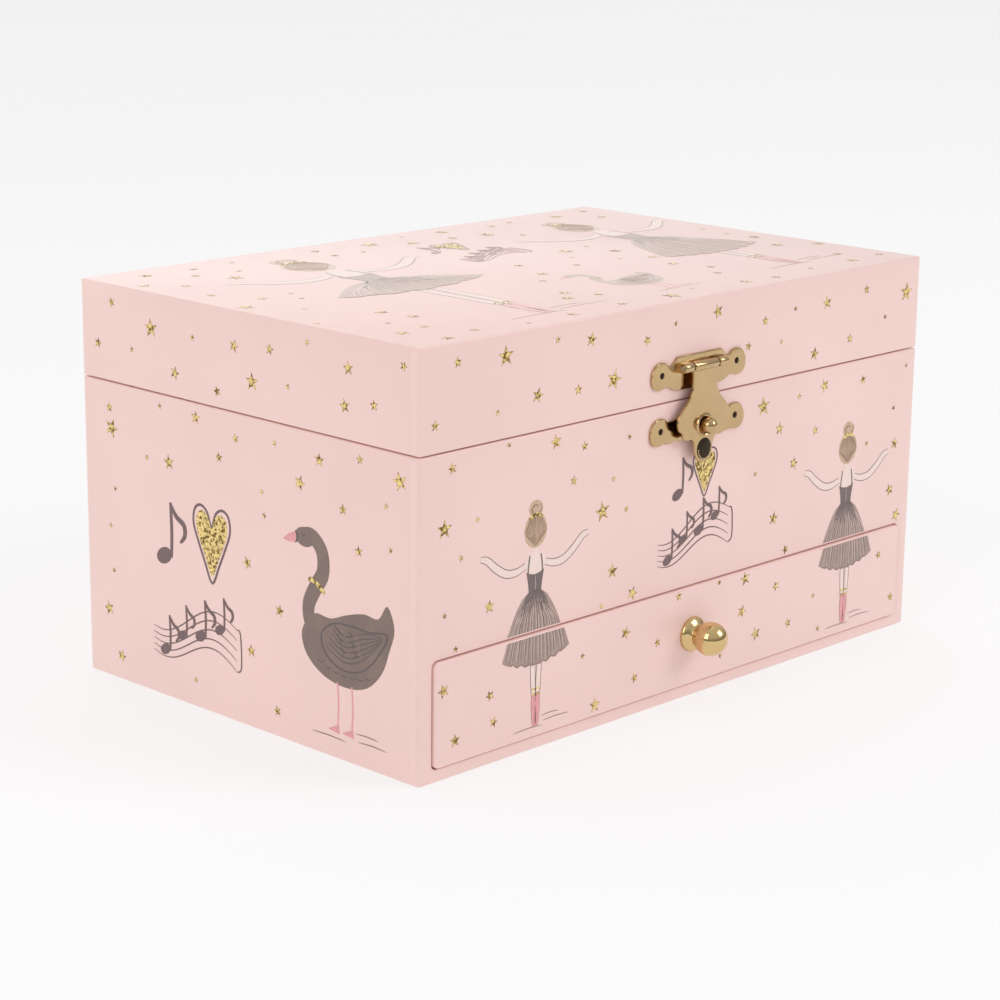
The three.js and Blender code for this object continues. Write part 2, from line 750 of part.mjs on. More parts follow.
add(
  "movement_bedplate",
  cut(
    join(
      frontPlate(bedplateShape, bedplateFront, bedplateThickness),
      block(
        [combRoot + 0.6, combBack, combBottom - 1],
        [combHeel, bedplateFront + 1, combBottom + cylinderLength],
      ),
    ),
    bar("y", arborRadius + pinClearance, bedplateFront - 1, innerBack + 1, [0, barrelHeight]),
    ...screwSites.map((site) => bar("y", screwRadius + 0.1, bedplateFront - 1, innerBack + 1, site, 16)),
    ...combScrews.map((z) => bar("y", combScrewHole, combBack - 1, combBack + 6, [combScrewX, z], 16)),
  ),
  brass,
);
combScrews.forEach((z, i) =>
  add(
    `comb_screw_${i + 1}`,
    join(
      bar("y", combScrewHole - 0.1, combFront - 0.5, combBack + 5.5, [combScrewX, z], 16),
      bar("y", 1.6, combFront - 1.5, combFront - 0.1, [combScrewX, z], 20, 2.2),
    ),
    steel,
  ),
);

// ---- the movement: spring barrel and winding arbor -------------------------------------------
const barrelFront = greatWheelY - greatWheelThickness / 2 - 10.4;
const barrelBackLevel = greatWheelY + greatWheelThickness / 2;
const barrelWall = 0.8;
const barrelRim = extruded(
  gearShape(
    barrelTeeth,
    barrelPitchRadius - barrelRootDepth,
    barrelPitchRadius + barrelTipHeight,
    0.44,
    0.26,
    Math.PI / 2,
  ),
  greatWheelThickness,
);
add(
  "spring_barrel",
  cut(
    join(
      barrelRim.rotateX(Math.PI / 2).translate(0, barrelBackLevel, barrelHeight),
      bar("y", barrelRadius, barrelFront, barrelBackLevel, [0, barrelHeight], 32),
    ),
    bar("y", barrelRadius - barrelWall, barrelFront - 1, barrelBackLevel - 1.2, [0, barrelHeight], 32),
    bar("y", arborRadius + pinClearance, barrelFront - 1, barrelBackLevel + 1, [0, barrelHeight], 20),
  ),
  brass,
);
add(
  "barrel_cap",
  cut(
    bar("y", barrelRadius - barrelWall - 0.1, barrelFront, barrelFront + 0.9, [0, barrelHeight], 32),
    bar("y", arborRadius + pinClearance, barrelFront - 1, barrelFront + 2, [0, barrelHeight], 20),
  ),
  brass,
);

// Mainspring: a flat strip wound as a spiral between the arbor and the barrel's wall.
function spiralStrip(turns, innerRadius, outerRadius, thickness) {
  const stepsPerTurn = 16;
  const steps = turns * stepsPerTurn;
  const side = (offset) =>
    Array.from({ length: steps + 1 }, (_, i) => {
      const radius = innerRadius + ((outerRadius - innerRadius) * i) / steps + offset;
      const angle = (2 * Math.PI * i) / stepsPerTurn;
      return [radius * Math.cos(angle), radius * Math.sin(angle)];
    });
  return shapeOf([...side(0), ...side(thickness).reverse()]);
}
const springWidth = 7.2;
add(
  "mainspring",
  extruded(spiralStrip(5, arborRadius + 0.5, barrelRadius - barrelWall - 0.8, 0.4), springWidth)
    .rotateX(Math.PI / 2)
    .translate(0, barrelFront + 1.2 + springWidth, barrelHeight),
  steel,
);

// The arbor turns in the bedplate; the key is screwed on its end behind the box.
const keyStart = backFace + 3;
const arborEnd = keyStart + 9;
add(
  "winding_arbor",
  bar("y", arborRadius, barrelFront - 0.8, arborEnd, [0, barrelHeight], 20),
  steel,
);

// Winding key: a threaded hub, and a flat bow with two finger holes.
const keyHubRadius = 3;
const bowThickness = 1.8;
const bowStart = keyStart + 7.5;
function keyBowShape() {
  const lobe = 6.2;
  const shape = new THREE.Shape();
  shape.moveTo(-2.2, -2.6);
  shape.lineTo(2.2, -2.6);
  shape.absarc(7.6, 0, lobe, -2.55, 2.55, false);
  shape.lineTo(-2.2, 2.6);
  shape.absarc(-7.6, 0, lobe, Math.PI - 2.55, Math.PI + 2.55, false);
  for (const x of [-7.6, 7.6]) {
    shape.holes.push(new THREE.Path().absarc(x, 0, 3.1, 0, 2 * Math.PI, true));
  }
  return shape;
}
const keyBow = extruded(keyBowShape(), bowThickness, 9).translate(0, 0, -bowThickness / 2);
const keyHub = bar("y", keyHubRadius, keyStart, bowStart + 3, [0, 0], 24);
add(
  "winding_key",
  cut(
    join(keyHub, keyBow.translate(0, 6.5 + bowStart - 1, 0)).translate(0, 0, barrelHeight),
    bar("y", arborRadius + 0.08, keyStart - 1, arborEnd + 0.4, [0, barrelHeight], 20),
  ),
  goldPlate,
);

// ---- the movement: cylinder and the dancer it turns ------------------------------------------
const crownTip = meshHeight - 0.4;
const crownToothSpan = 1.3;
function crownTooth(i) {
  const half = crownToothSpan / 2;
  const height = crownDisc - crownTip + 0.3;
  const profile = [[0.3, 0], [0.2, -height], [-0.2, -height], [-0.3, 0]];
  const tooth = sideProfile(profile, -half, half);
  const angle = (2 * Math.PI * (i + 0.5)) / crownTeeth + Math.PI / 2;
  return tooth.translate(crownRadius, 0, crownDisc + 0.3).rotateZ(angle);
}
const crownBody = join(
  bar("z", crownRadius + 0.8, crownDisc, crownDisc + 1.2, [0, 0], 32),
  ...Array.from({ length: crownTeeth }, (_, i) => crownTooth(i)),
);
const shaftBore = (from, to) =>
  bar("z", cylinderArborRadius + wheelBoreClearance, from, to, [0, cylinderY], 16);
crownBody.translate(0, cylinderY, 0);
add("crown_wheel", cut(crownBody, shaftBore(crownDisc - 1, crownDisc + 3)), brass);

add(
  "music_cylinder",
  cut(
    bar("z", cylinderRadius, cylinderBottom, cylinderTop, [0, cylinderY], 36),
    shaftBore(cylinderBottom - 1, cylinderTop + 1),
  ),
  brass,
);

const cylinderGearShape = gearShape(
  cylinderGearTeeth,
  cylinderGearPitchRadius - 0.62,
  cylinderGearPitchRadius + 0.42,
  0.4,
  0.22,
  Math.PI,
);
add(
  "cylinder_gear",
  cut(
    extruded(cylinderGearShape, gearThickness).translate(0, cylinderY, cylinderGearBottom),
    shaftBore(cylinderGearBottom - 1, cylinderGearBottom + 3),
  ),
  brass,
);

// One shaft runs from the crown wheel up through the deck, where the dancer's plinth is pressed on.
const plinthBottom = stageTop + 0.8;
const plinthHeight = 2;
add(
  "cylinder_arbor",
  bar("z", cylinderArborRadius, crownDisc - 0.2, plinthBottom + plinthHeight - 0.4, [0, cylinderY], 20),
  steel,
);
add(
  "dancer_plinth",
  cut(
    turned(
      [
        [0, plinthBottom],
        [5, plinthBottom],
        [5, plinthBottom + 0.8],
        [4.2, plinthBottom + plinthHeight],
        [0, plinthBottom + plinthHeight],
      ],
      28,
    ).translate(0, cylinderY, 0),
    shaftBore(plinthBottom - 1, plinthBottom + plinthHeight - 0.35),
  ),
  goldPlate,
);

// The dancer stands on her toes with her arms in an oval over her head.
const toe = plinthBottom + plinthHeight;
const dancerDrawnHeight = 43.9;
const tutuDrawnRadius = 12.8;
const dancerHeightScale = (lidCeiling - mirrorThickness - dancerHeadroom - toe) / dancerDrawnHeight;
const dancerGirthScale = (innerBack - tutuBackClearance - cylinderY) / tutuDrawnRadius;
function onPlinth(geometry) {
  geometry.scale(dancerGirthScale, dancerGirthScale, dancerHeightScale);
  return geometry.translate(0, cylinderY, toe + 0.02);
}
const legProfile = [
  [0, 0],
  [0.5, 0],
  [0.7, 1.6],
  [0.85, 4],
  [1.35, 9],
  [1.1, 12.5],
  [1.7, 18],
  [1.9, 22],
  [0, 22],
];
const dancerLeg = (side) => turned(legProfile, 8).translate(side * 1.05, 0, 0);
function dancerArm(side) {
  const points = [[2.2, 30.4], [4.6, 32], [6.2, 35.4], [5.6, 39.4], [3.2, 42.2], [1.0, 43.3]];
  return tube(points.map(([x, z]) => [side * x, -0.3, z]), 0.62, 6, 10);
}
const torsoProfile = [
  [0, 20],
  [2.6, 20],
  [3.1, 22.4],
  [3.1, 25],
  [2.1, 26.4],
  [2.5, 28.4],
  [2.6, 30.2],
  [1.9, 31.4],
  [0.95, 32],
  [0.9, 34.6],
  [0, 34.6],
];
const dancerTorso = turned(torsoProfile, 16);
const headRadius = 2.6;
const dancerHead = new THREE.SphereGeometry(headRadius, 12, 8).rotateX(Math.PI / 2);
dancerHead.scale(0.92, 0.98, 1.12).translate(0, 0, 36.3);
const dancerBun = new THREE.SphereGeometry(1.5, 8, 6).translate(0, 1.1, 39.2);
add(
  "dancer_figure",
  onPlinth(
    join(dancerTorso, dancerLeg(-1), dancerLeg(1), dancerHead, dancerBun, dancerArm(-1), dancerArm(1)),
  ),
  dollPlastic,
);
const tutuProfile = [
  [3.2, 22.9],
  [12.6, 21.4],
  [tutuDrawnRadius, 22.2],
  [8, 24.1],
  [3.2, 24.9],
  [3.2, 22.9],
];
add("dancer_tutu", onPlinth(turned(tutuProfile, 32)), tulle);

// ---- the movement: idler and air brake -------------------------------------------------------
const idlerBottom = cylinderGearBottom - 3.4;
const idlerTop = wormWheelMiddle + 4;
const armHalf = 2.2;
const idlerArm = (z) =>
  cut(
    block([idlerX - armHalf, cylinderY - 2.4, z], [idlerX + armHalf, bedplateFront, z + 1.1]),
    bar("z", idlerArborRadius + pinClearance, z - 1, z + 2, [idlerX, cylinderY], 12),
  );
const idlerFoot = block(
  [idlerX - armHalf, bedplateFront - 1.2, idlerBottom],
  [idlerX + armHalf, bedplateFront, idlerTop],
);
add("idler_bracket", join(idlerFoot, idlerArm(idlerBottom), idlerArm(idlerTop - 1.1)), brass);

const pinionShape = gearShape(
  idlerPinionTeeth,
  idlerPinionPitchRadius - 0.62,
  idlerPinionPitchRadius + 0.36,
  0.42,
  0.16,
  Math.PI / idlerPinionTeeth,
);
add(
  "idler_arbor",
  join(
    bar("z", idlerArborRadius, idlerBottom - 0.2, idlerTop + 0.2, [0, 0], 12),
    extruded(pinionShape, gearThickness + 0.3).translate(0, 0, cylinderGearBottom - 0.15),
  ).translate(idlerX, cylinderY, 0),
  steel,
);

// The worm wheel's teeth follow the worm's lead.
const wormWheelThickness = 1.1;
const wormLead = (wormStarts * 2 * Math.PI * wormWheelPitchRadius) / wormWheelTeeth;
const toothTwist = wormLead / (2 * Math.PI * wormPitchRadius) / wormWheelPitchRadius;
function twisted(geometry, turnPerMillimetre) {
  const position = geometry.getAttribute("position");
  for (let i = 0; i < position.count; i++) {
    const angle = position.getZ(i) * turnPerMillimetre;
    const [x, y] = [position.getX(i), position.getY(i)];
    position.setX(i, x * Math.cos(angle) - y * Math.sin(angle));
    position.setY(i, x * Math.sin(angle) + y * Math.cos(angle));
  }
  return geometry;
}
const wormWheelShape = gearShape(
  wormWheelTeeth,
  wormWheelPitchRadius - 0.6,
  wormWheelPitchRadius + 0.35,
  0.36,
  0.2,
  Math.PI,
);
const wormWheelRim = twisted(
  extruded(wormWheelShape, wormWheelThickness).translate(0, 0, -wormWheelThickness / 2),
  toothTwist,
);
const wormWheelBore = bar("z", idlerArborRadius + wheelBoreClearance, -3, 3, [0, 0], 12);
add("worm_wheel", cut(wormWheelRim, wormWheelBore).translate(idlerX, cylinderY, wormWheelMiddle), brass);

const wormStart = cylinderY - 3.6;
const wormEnd = cylinderY + 3.6;
const governorShaftRadius = 0.55;
const threadRadius = 0.36;
function wormThread(start) {
  const turnsEachWay = 1.05;
  const steps = 24;
  const points = Array.from({ length: steps + 1 }, (_, i) => {
    const turn = -turnsEachWay + (2 * turnsEachWay * i) / steps;
    const angle = 2 * Math.PI * (turn + start / wormStarts + 0.5 / wormStarts) + Math.PI / 2;
    return [wormPitchRadius * Math.sin(angle), wormLead * turn, wormPitchRadius * Math.cos(angle)];
  });
  return tube(points, threadRadius, 5, steps);
}
add(
  "governor_worm",
  join(
    bar("y", 0.95, wormStart - cylinderY, wormEnd - cylinderY, [0, 0], 16),
    bar("y", governorShaftRadius, -13.4, 8.2, [0, 0], 12),
    ...Array.from({ length: wormStarts }, (_, i) => wormThread(i)),
  ).translate(wormX, cylinderY, wormWheelMiddle),
  steel,
);

// Air brake: two thin vanes on a hub that is pressed on the worm's shaft.
const fanStart = cylinderY - 12.8;
const fanEnd = cylinderY - 7.6;
add(
  "air_brake",
  cut(
    join(
      bar("y", 1.3, fanStart, fanEnd, [0, 0], 16),
      block([-fanRadius, fanStart, -0.25], [fanRadius, fanEnd, 0.25]),
    ),
    bar("y", governorShaftRadius + wheelBoreClearance, fanStart - 1, fanEnd + 1, [0, 0], 12),
  ).translate(wormX, 0, wormWheelMiddle),
  whitePlastic,
);

const governorWallX = wormX - 5.2;
const governorArm = (y) =>
  cut(
    block([governorWallX, y, wormWheelMiddle - 2.4], [wormX + 1.9, y + 1.1, wormWheelMiddle + 2.4]),
    bar("y", governorShaftRadius + pinClearance, y - 1, y + 2, [wormX, wormWheelMiddle], 12),
  );
add(
  "governor_bracket",
  join(
    block(
      [governorWallX, cylinderY - 6, wormWheelMiddle - 2.4],
      [governorWallX + 1.1, bedplateFront, wormWheelMiddle + 2.4],
    ),
    governorArm(cylinderY - 6),
    governorArm(cylinderY + 6),
  ),
  brass,
);

// Stop rod: the closed lid holds it down; its wire reaches down beside the air brake.
const stopRodTop = pressBlockBottom - touch;
add(
  "stop_rod",
  join(
    bar("z", stopRodRadius, stageHeight - 4, stopRodTop, stopRodSite, 12),
    tube(
      [
        [stopRodSite[0], stopRodSite[1], stageHeight - 3.2],
        [stopRodSite[0] - 0.8, stopRodSite[1] - 8, stageHeight - 3.4],
        [stopRodSite[0] - 0.4, fanEnd - 1, stageHeight - 3.6],
      ],
      0.5,
      8,
      8,
    ),
  ),
  steel,
);

export default box;
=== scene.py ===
"""Looks of the musical jewellery box: paper-covered board, printed dancers and swan, gilt fittings,
velvet ring rolls, a small dancer on a stage, and the clockwork that turns it.
Shapes are drawn in millimetres and scaled to metres when a piece is placed."""
import math
import random

import bmesh
import bpy
from mathutils import Matrix, Vector, noise


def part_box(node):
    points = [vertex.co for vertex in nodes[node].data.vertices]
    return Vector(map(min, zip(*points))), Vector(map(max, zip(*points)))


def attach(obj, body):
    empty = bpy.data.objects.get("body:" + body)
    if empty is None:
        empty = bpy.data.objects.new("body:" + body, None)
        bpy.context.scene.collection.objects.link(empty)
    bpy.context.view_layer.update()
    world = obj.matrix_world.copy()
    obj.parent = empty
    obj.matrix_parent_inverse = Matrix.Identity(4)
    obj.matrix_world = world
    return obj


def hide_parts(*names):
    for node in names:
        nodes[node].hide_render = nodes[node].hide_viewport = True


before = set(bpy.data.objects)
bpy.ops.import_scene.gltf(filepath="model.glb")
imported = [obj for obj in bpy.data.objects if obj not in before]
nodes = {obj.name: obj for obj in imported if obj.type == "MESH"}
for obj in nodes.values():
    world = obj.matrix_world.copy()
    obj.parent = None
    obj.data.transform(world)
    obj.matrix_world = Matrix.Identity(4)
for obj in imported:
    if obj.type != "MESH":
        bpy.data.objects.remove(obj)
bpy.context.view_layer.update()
MM = 0.001
TAU = 2 * math.pi
TOUCH = 0.01  # how near two levels count as the same, in millimetres
MERGE = 0.002  # doubles closer than this are one vertex
CREASE = 35  # degrees past which an edge stays sharp


def corners(node):
    """Lowest and highest corner of a CAD node, in millimetres."""
    low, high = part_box(node)
    return low / MM, high / MM


def middle(node):
    """Middle of a CAD node's box, in millimetres."""
    low, high = corners(node)
    return (low + high) / 2


# ---- finishes --------------------------------------------------------------------------------
class Finish:
    """A node material on one Principled shader, with helpers for patterns in Object space."""

    def __init__(self, name, **sockets):
        self.material = bpy.data.materials.new(name)
        self.material.use_nodes = True
        self.tree = self.material.node_tree
        self.shader = self.tree.nodes["Principled BSDF"]
        for key, value in sockets.items():
            self.shader.inputs[key.replace("_", " ")].default_value = value
        self.place = self.tree.nodes.new("ShaderNodeTexCoord").outputs["Object"]

    def node(self, kind, **inputs):
        made = self.tree.nodes.new(kind)
        for key, value in inputs.items():
            socket = made.inputs[key.replace("_", " ")]
            if isinstance(value, bpy.types.NodeSocket):
                self.tree.links.new(value, socket)
            else:
                socket.default_value = value
        return made

    def stretched(self, scale):
        return self.node("ShaderNodeMapping", Vector=self.place, Scale=scale).outputs["Vector"]

    def grain(self, scale, detail=3.0, rough=0.55, vector=None):
        inputs = {"Vector": vector or self.place, "Scale": scale, "Detail": detail, "Roughness": rough}
        return self.node("ShaderNodeTexNoise", **inputs).outputs["Fac"]

    def cells(self, scale, output="Distance"):
        return self.node("ShaderNodeTexVoronoi", Vector=self.place, Scale=scale).outputs[output]

    def ramp(self, factor, stops):
        made = self.node("ShaderNodeValToRGB", Fac=factor)
        band = made.color_ramp
        while len(band.elements) < len(stops):
            band.elements.new(0.5)
        for element, (position, colour) in zip(band.elements, stops):
            element.position = position
            element.color = (*colour, 1)
        return made.outputs["Color"]

    def spread(self, factor, low, high):
        made = self.node("ShaderNodeMapRange", Value=factor)
        made.inputs["To Min"].default_value = low
        made.inputs["To Max"].default_value = high
        return made.outputs["Result"]

    def colour(self, factor, stops):
        self.tree.links.new(self.ramp(factor, stops), self.shader.inputs["Base Color"])
        return self

    def mottled(self, factor, colour, dark, light, low=0.3, high=0.7):
        """One colour, a little darker and lighter where the factor falls and rises."""
        return self.colour(factor, [(low, shade(colour, dark)), (high, shade(colour, light))])

    def roughness(self, factor, low, high):
        self.tree.links.new(self.spread(factor, low, high), self.shader.inputs["Roughness"])
        return self

    def bump(self, height, strength, depth_mm):
        previous = self.shader.inputs["Normal"].links
        made = self.node("ShaderNodeBump", Height=height, Strength=strength, Distance=depth_mm * MM)
        if previous:
            self.tree.links.new(previous[0].from_socket, made.inputs["Normal"])
        self.tree.links.new(made.outputs["Normal"], self.shader.inputs["Normal"])
        return self


def shade(colour, factor):
    """A colour made darker or lighter."""
    return tuple(min(1.0, channel * factor) for channel in colour)


def paper(name, colour, gloss):
    """Laminated paper: faint cloudy colour, fine fibre, and the film's slight waviness."""
    made = Finish(name, Coat_Weight=0.55, Coat_Roughness=0.28, Coat_IOR=1.45, IOR=1.45)
    made.mottled(made.grain(24, 4), colour, 0.975, 1.02)
    made.roughness(made.grain(160, 3), gloss - 0.05, gloss + 0.06)
    return made.bump(made.grain(2600, 2), 0.12, 0.02).bump(made.grain(330, 2), 0.10, 0.05).material


def lining(name, colour):
    """Uncoated lining paper with a pressed dot grain."""
    made = Finish(name, Specular_IOR_Level=0.3)
    made.mottled(made.grain(40, 4), colour, 0.94, 1.05)
    made.roughness(made.grain(500, 2), 0.7, 0.85)
    return made.bump(made.cells(900), 0.25, 0.05).bump(made.grain(3000, 2), 0.2, 0.02).material


def ink(name, colour, variation, scale):
    """Print under the film: the colour breaks up a little, as pencil on paper does."""
    made = Finish(name, Coat_Weight=0.55, Coat_Roughness=0.28, Coat_IOR=1.45)
    made.mottled(made.grain(scale, 5, 0.7), colour, 1 - variation, 1 + variation)
    return made.roughness(made.grain(160, 3), 0.38, 0.48).material


def glitter(name, dark, light):
    """Gold foil with glitter: each grain faces its own way."""
    made = Finish(name, Metallic=0.85, Coat_Weight=0.2, Coat_Roughness=0.2)
    tone = made.node("ShaderNodeSeparateColor", Color=made.cells(1500, "Color")).outputs["Red"]
    made.colour(tone, [(0.15, dark), (0.5, shade(light, 0.75)), (0.9, light)])
    return made.roughness(tone, 0.5, 0.2).bump(tone, 0.6, 0.12).material


def polished(name, colour, gloss, wear):
    """Plated metal: mirror bright, with soft clouds and hair scratches."""
    made = Finish(name, Metallic=1.0)
    made.mottled(made.grain(120, 4), colour, 0.94, 1.05, 0.3, 0.75)
    made.roughness(made.grain(420, 5, 0.7), gloss, gloss + wear)
    scratches = made.grain(260, 2, vector=made.stretched((1, 14, 14)))
    return made.bump(scratches, 0.05, 0.02).bump(made.grain(75, 1), 0.16, 0.6).material


def cut_metal(name, colour, gloss, lines=(1, 1, 30)):
    """Machined metal: fine lines from the tool, a little tarnish."""
    made = Finish(name, Metallic=1.0)
    made.mottled(made.grain(90, 5, 0.65), colour, 0.8, 1.04, 0.3, 0.65)
    made.roughness(made.grain(700, 3), gloss, gloss + 0.15)
    return made.bump(made.grain(500, 2, vector=made.stretched(lines)), 0.2, 0.03).material


def pile(name, colour):
    """Velvet: short pile with crushed patches and a bright edge."""
    made = Finish(name, Roughness=0.9, Sheen_Weight=0.6, Sheen_Roughness=0.35, Specular_IOR_Level=0.2)
    made.shader.inputs["Sheen Tint"].default_value = (*shade(colour, 1.5), 1)
    crushed = made.grain(150, 5, 0.6)
    made.mottled(crushed, colour, 0.72, 1.12, 0.25, 0.75)
    return made.bump(made.grain(3500, 2), 0.6, 0.12).bump(crushed, 0.25, 0.4).material


def moulded(name, colour, gloss, subsurface=0.0):
    """Injection-moulded plastic with a faint orange peel."""
    made = Finish(name, Subsurface_Weight=subsurface, Coat_Weight=0.1, Coat_Roughness=0.2)
    made.shader.inputs["Subsurface Scale"].default_value = 1.5 * MM
    made.mottled(made.grain(220, 3), colour, 0.96, 1.03)
    made.roughness(made.grain(900, 2), gloss - 0.04, gloss + 0.08)
    return made.bump(made.grain(1400, 2), 0.08, 0.02).material


def net_cloth(name, colour):
    """Stiffened net: a fine weave that lets light through between its threads."""
    made = Finish(name, Roughness=0.75, Sheen_Weight=0.4, Transmission_Weight=0.15)
    threads = made.cells(2200)
    made.mottled(threads, colour, 1.15, 0.82, 0.15, 0.6)
    return made.bump(threads, 0.7, 0.08).material


def looking_glass(name):
    """Silvered glass, very slightly wavy."""
    made = Finish(name, Metallic=1.0, Coat_Weight=1.0, Coat_Roughness=0.0, Roughness=0.02)
    made.colour(made.grain(8, 2), [(0.3, (0.86, 0.89, 0.9)), (0.7, (0.9, 0.92, 0.93))])
    return made.bump(made.grain(15, 2), 0.02, 0.02).material


pink_paper = paper("pink_laminated_paper", (0.93, 0.655, 0.610), 0.42)
lining_paper = lining("rose_lining_paper", (0.80, 0.50, 0.49))
gold_foil = glitter("gold_foil_glitter", (0.20, 0.11, 0.02), (0.95, 0.72, 0.28))
skin_ink = ink("skin_tint_ink", (0.92, 0.72, 0.655), 0.02, 200)
foil_edge = ink("foil_edge_ink", (0.34, 0.20, 0.07), 0.25, 900)
# The inks in the order of their numbers. The lid's top has paler copies: its print is lighter, and the
# film's grazing sheen is painted into those inks as well.
(OUTLINE, SHADOW, GREY, PALE, BODICE, FEATHER, PLUME, SKIN, HAIR, ROSE, GOLD, EDGE) = range(12)
INKS = [
    ink("outline_ink", (0.155, 0.085, 0.085), 0.22, 900),
    ink("shadow_ink", (0.29, 0.18, 0.16), 0.2, 700),
    ink("skirt_grey_ink", (0.385, 0.275, 0.235), 0.18, 500),
    ink("pleat_light_ink", (0.60, 0.45, 0.39), 0.15, 600),
    ink("bodice_ink", (0.155, 0.105, 0.10), 0.15, 500),
    ink("swan_grey_ink", (0.20, 0.13, 0.105), 0.14, 120),
    ink("plume_line_ink", (0.095, 0.07, 0.068), 0.18, 500),
    skin_ink,
    ink("hair_ink", (0.62, 0.42, 0.28), 0.2, 800),
    ink("rose_ink", (0.80, 0.34, 0.36), 0.12, 500),
    gold_foil,
    foil_edge,
]
# Paler inks for the lid's top: a lighter print with the laminate's grazing sheen painted in.
top_shadow_ink = ink("top_shadow_ink", (0.50, 0.36, 0.32), 0.15, 700)
top_skirt_ink = ink("top_skirt_ink", (0.63, 0.475, 0.41), 0.12, 500)
TOP_INKS_WITH_PAINTED_SHEEN = [
    ink("top_outline_ink", (0.42, 0.29, 0.27), 0.15, 900),
    top_shadow_ink,
    top_skirt_ink,
    ink("top_pleat_ink", (0.76, 0.59, 0.52), 0.10, 600),
    ink("top_bodice_ink", (0.47, 0.35, 0.31), 0.12, 500),
    top_skirt_ink,
    top_shadow_ink,
    skin_ink,
    ink("top_hair_ink", (0.74, 0.56, 0.43), 0.15, 800),
    ink("top_rose_ink", (0.88, 0.50, 0.49), 0.10, 500),
    gold_foil,
    foil_edge,
]
gilt = polished("gilt_plate", (0.56, 0.39, 0.205), 0.10, 0.05)
knob_gilt = polished("gilt_knob", (0.70, 0.505, 0.245), 0.06, 0.04)
# Near-black gilt: painted shade in the nail holes of the hasp's ears, and a painted dark reflection in the
# flap's thumb lip.
painted_dark_gilt = polished("gilt_painted_shade_and_reflection", (0.045, 0.03, 0.018), 0.25, 0.1)
brass = cut_metal("movement_brass_finish", (0.62, 0.45, 0.22), 0.28)
steel = cut_metal("bright_steel", (0.56, 0.56, 0.57), 0.22, (1, 30, 1))
comb_steel = cut_metal("comb_steel", (0.5, 0.51, 0.53), 0.25, (40, 1, 1))
blue_steel = cut_metal("mainspring_steel", (0.30, 0.33, 0.40), 0.3, (1, 40, 1))
velvet = pile("rose_velvet", (0.72, 0.36, 0.40))
velvet_flat = pile("rose_velvet_flat", (0.76, 0.42, 0.45))
mirror_glass = looking_glass("silvered_glass")
white_plastic = moulded("white_moulding", (0.82, 0.78, 0.72), 0.4)
doll_skin = moulded("doll_skin_plastic", (0.86, 0.60, 0.48), 0.38, 0.1)
doll_hair = moulded("doll_hair_plastic", (0.16, 0.09, 0.06), 0.42)
doll_satin = moulded("doll_bodice_paint", (0.80, 0.42, 0.46), 0.3)
doll_dark = moulded("doll_eye_paint", (0.05, 0.035, 0.03), 0.35)
net = net_cloth("stiff_net", (0.84, 0.60, 0.62))


# ---- making and placing pieces ---------------------------------------------------------------
def crisp(mesh, crease=CREASE):
    """Smooth shading that breaks at the sharp edges."""
    mesh.shade_smooth()
    mesh.set_sharp_from_angle(angle=math.radians(crease))


def place(bm, name, body, finishes, replaced=(), crease=CREASE, recalculated=True):
    """A bmesh drawn in millimetres becomes a piece that rides on a body."""
    if recalculated:
        bmesh.ops.recalc_face_normals(bm, faces=bm.faces)
    bmesh.ops.scale(bm, vec=(MM, MM, MM), verts=bm.verts)
    mesh = bpy.data.meshes.new(name)
    bm.to_mesh(mesh)
    bm.free()
    for finish in finishes:
        mesh.materials.append(finish)
    crisp(mesh, crease)
    piece = bpy.data.objects.new(name, mesh)
    bpy.context.scene.collection.objects.link(piece)
    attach(piece, body)
    if replaced:
        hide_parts(*replaced)
    return piece


def block(bm, low, high):
    """A box between two corners, added to a bmesh."""
    low, high = Vector(low), Vector(high)
    made = bmesh.ops.create_cube(bm, size=1)["verts"]
    bmesh.ops.scale(bm, vec=high - low, verts=made)
    bmesh.ops.translate(bm, vec=(low + high) / 2, verts=made)


def of_kind(geometry, kind):
    """The vertices, edges or faces among an operator's results."""
    return [g for g in geometry if isinstance(g, kind)]


def soften(bm, edges, width, segments):
    """Round some edges off."""
    bmesh.ops.bevel(
        bm,
        geom=list(dict.fromkeys(edges)),
        offset=width,
        offset_type="OFFSET",
        affect="EDGES",
        segments=segments,
        profile=0.5,
        material=-1,
        clamp_overlap=True,
    )


def eased_block(low, high, width, segments):
    """A box with all its edges rounded, as its own bmesh."""
    bm = bmesh.new()
    block(bm, low, high)
    soften(bm, bm.edges[:], width, segments)
    return bm


def lathe(bm, profile, centre, axis="z", steps=40, finish=0, loop=False):
    """Turn [radius, height] points about an axis: a profile from the axis to the axis, or a closed loop."""
    verts = [bm.verts.new((r, 0, h)) for r, h in profile]
    edges = [bm.edges.new(pair) for pair in zip(verts, verts[1:] + verts[:1] if loop else verts[1:])]
    before = set(bm.faces)
    about = {"cent": (0, 0, 0), "axis": (0, 0, 1), "angle": TAU, "steps": steps, "use_merge": True}
    bmesh.ops.spin(bm, geom=verts + edges, **about)

    def turned_faces():
        return [f for f in bm.faces if f not in before]

    def turned_verts():
        return list(dict.fromkeys(v for f in turned_faces() for v in f.verts))

    bmesh.ops.remove_doubles(bm, verts=turned_verts(), dist=MERGE)
    for face in turned_faces():
        face.material_index = finish
    made = turned_verts()
    turn = {
        "z": Matrix.Identity(4),
        "y": Matrix.Rotation(-math.pi / 2, 4, "X"),
        "-y": Matrix.Rotation(math.pi / 2, 4, "X"),
        "x": Matrix.Rotation(math.pi / 2, 4, "Y"),
    }[axis]
    bmesh.ops.transform(bm, matrix=Matrix.Translation(centre) @ turn, verts=made)
    return made


def ball(bm, radius, centre, finish, scale, detail):
    """A round or flattened ball; detail is its segments round and up."""
    made = bmesh.ops.create_uvsphere(bm, u_segments=detail[0], v_segments=detail[1], radius=radius)["verts"]
    bmesh.ops.scale(bm, vec=scale, verts=made)
    bmesh.ops.translate(bm, vec=centre, verts=made)
    for face in {f for v in made for f in v.link_faces}:
        face.material_index = finish


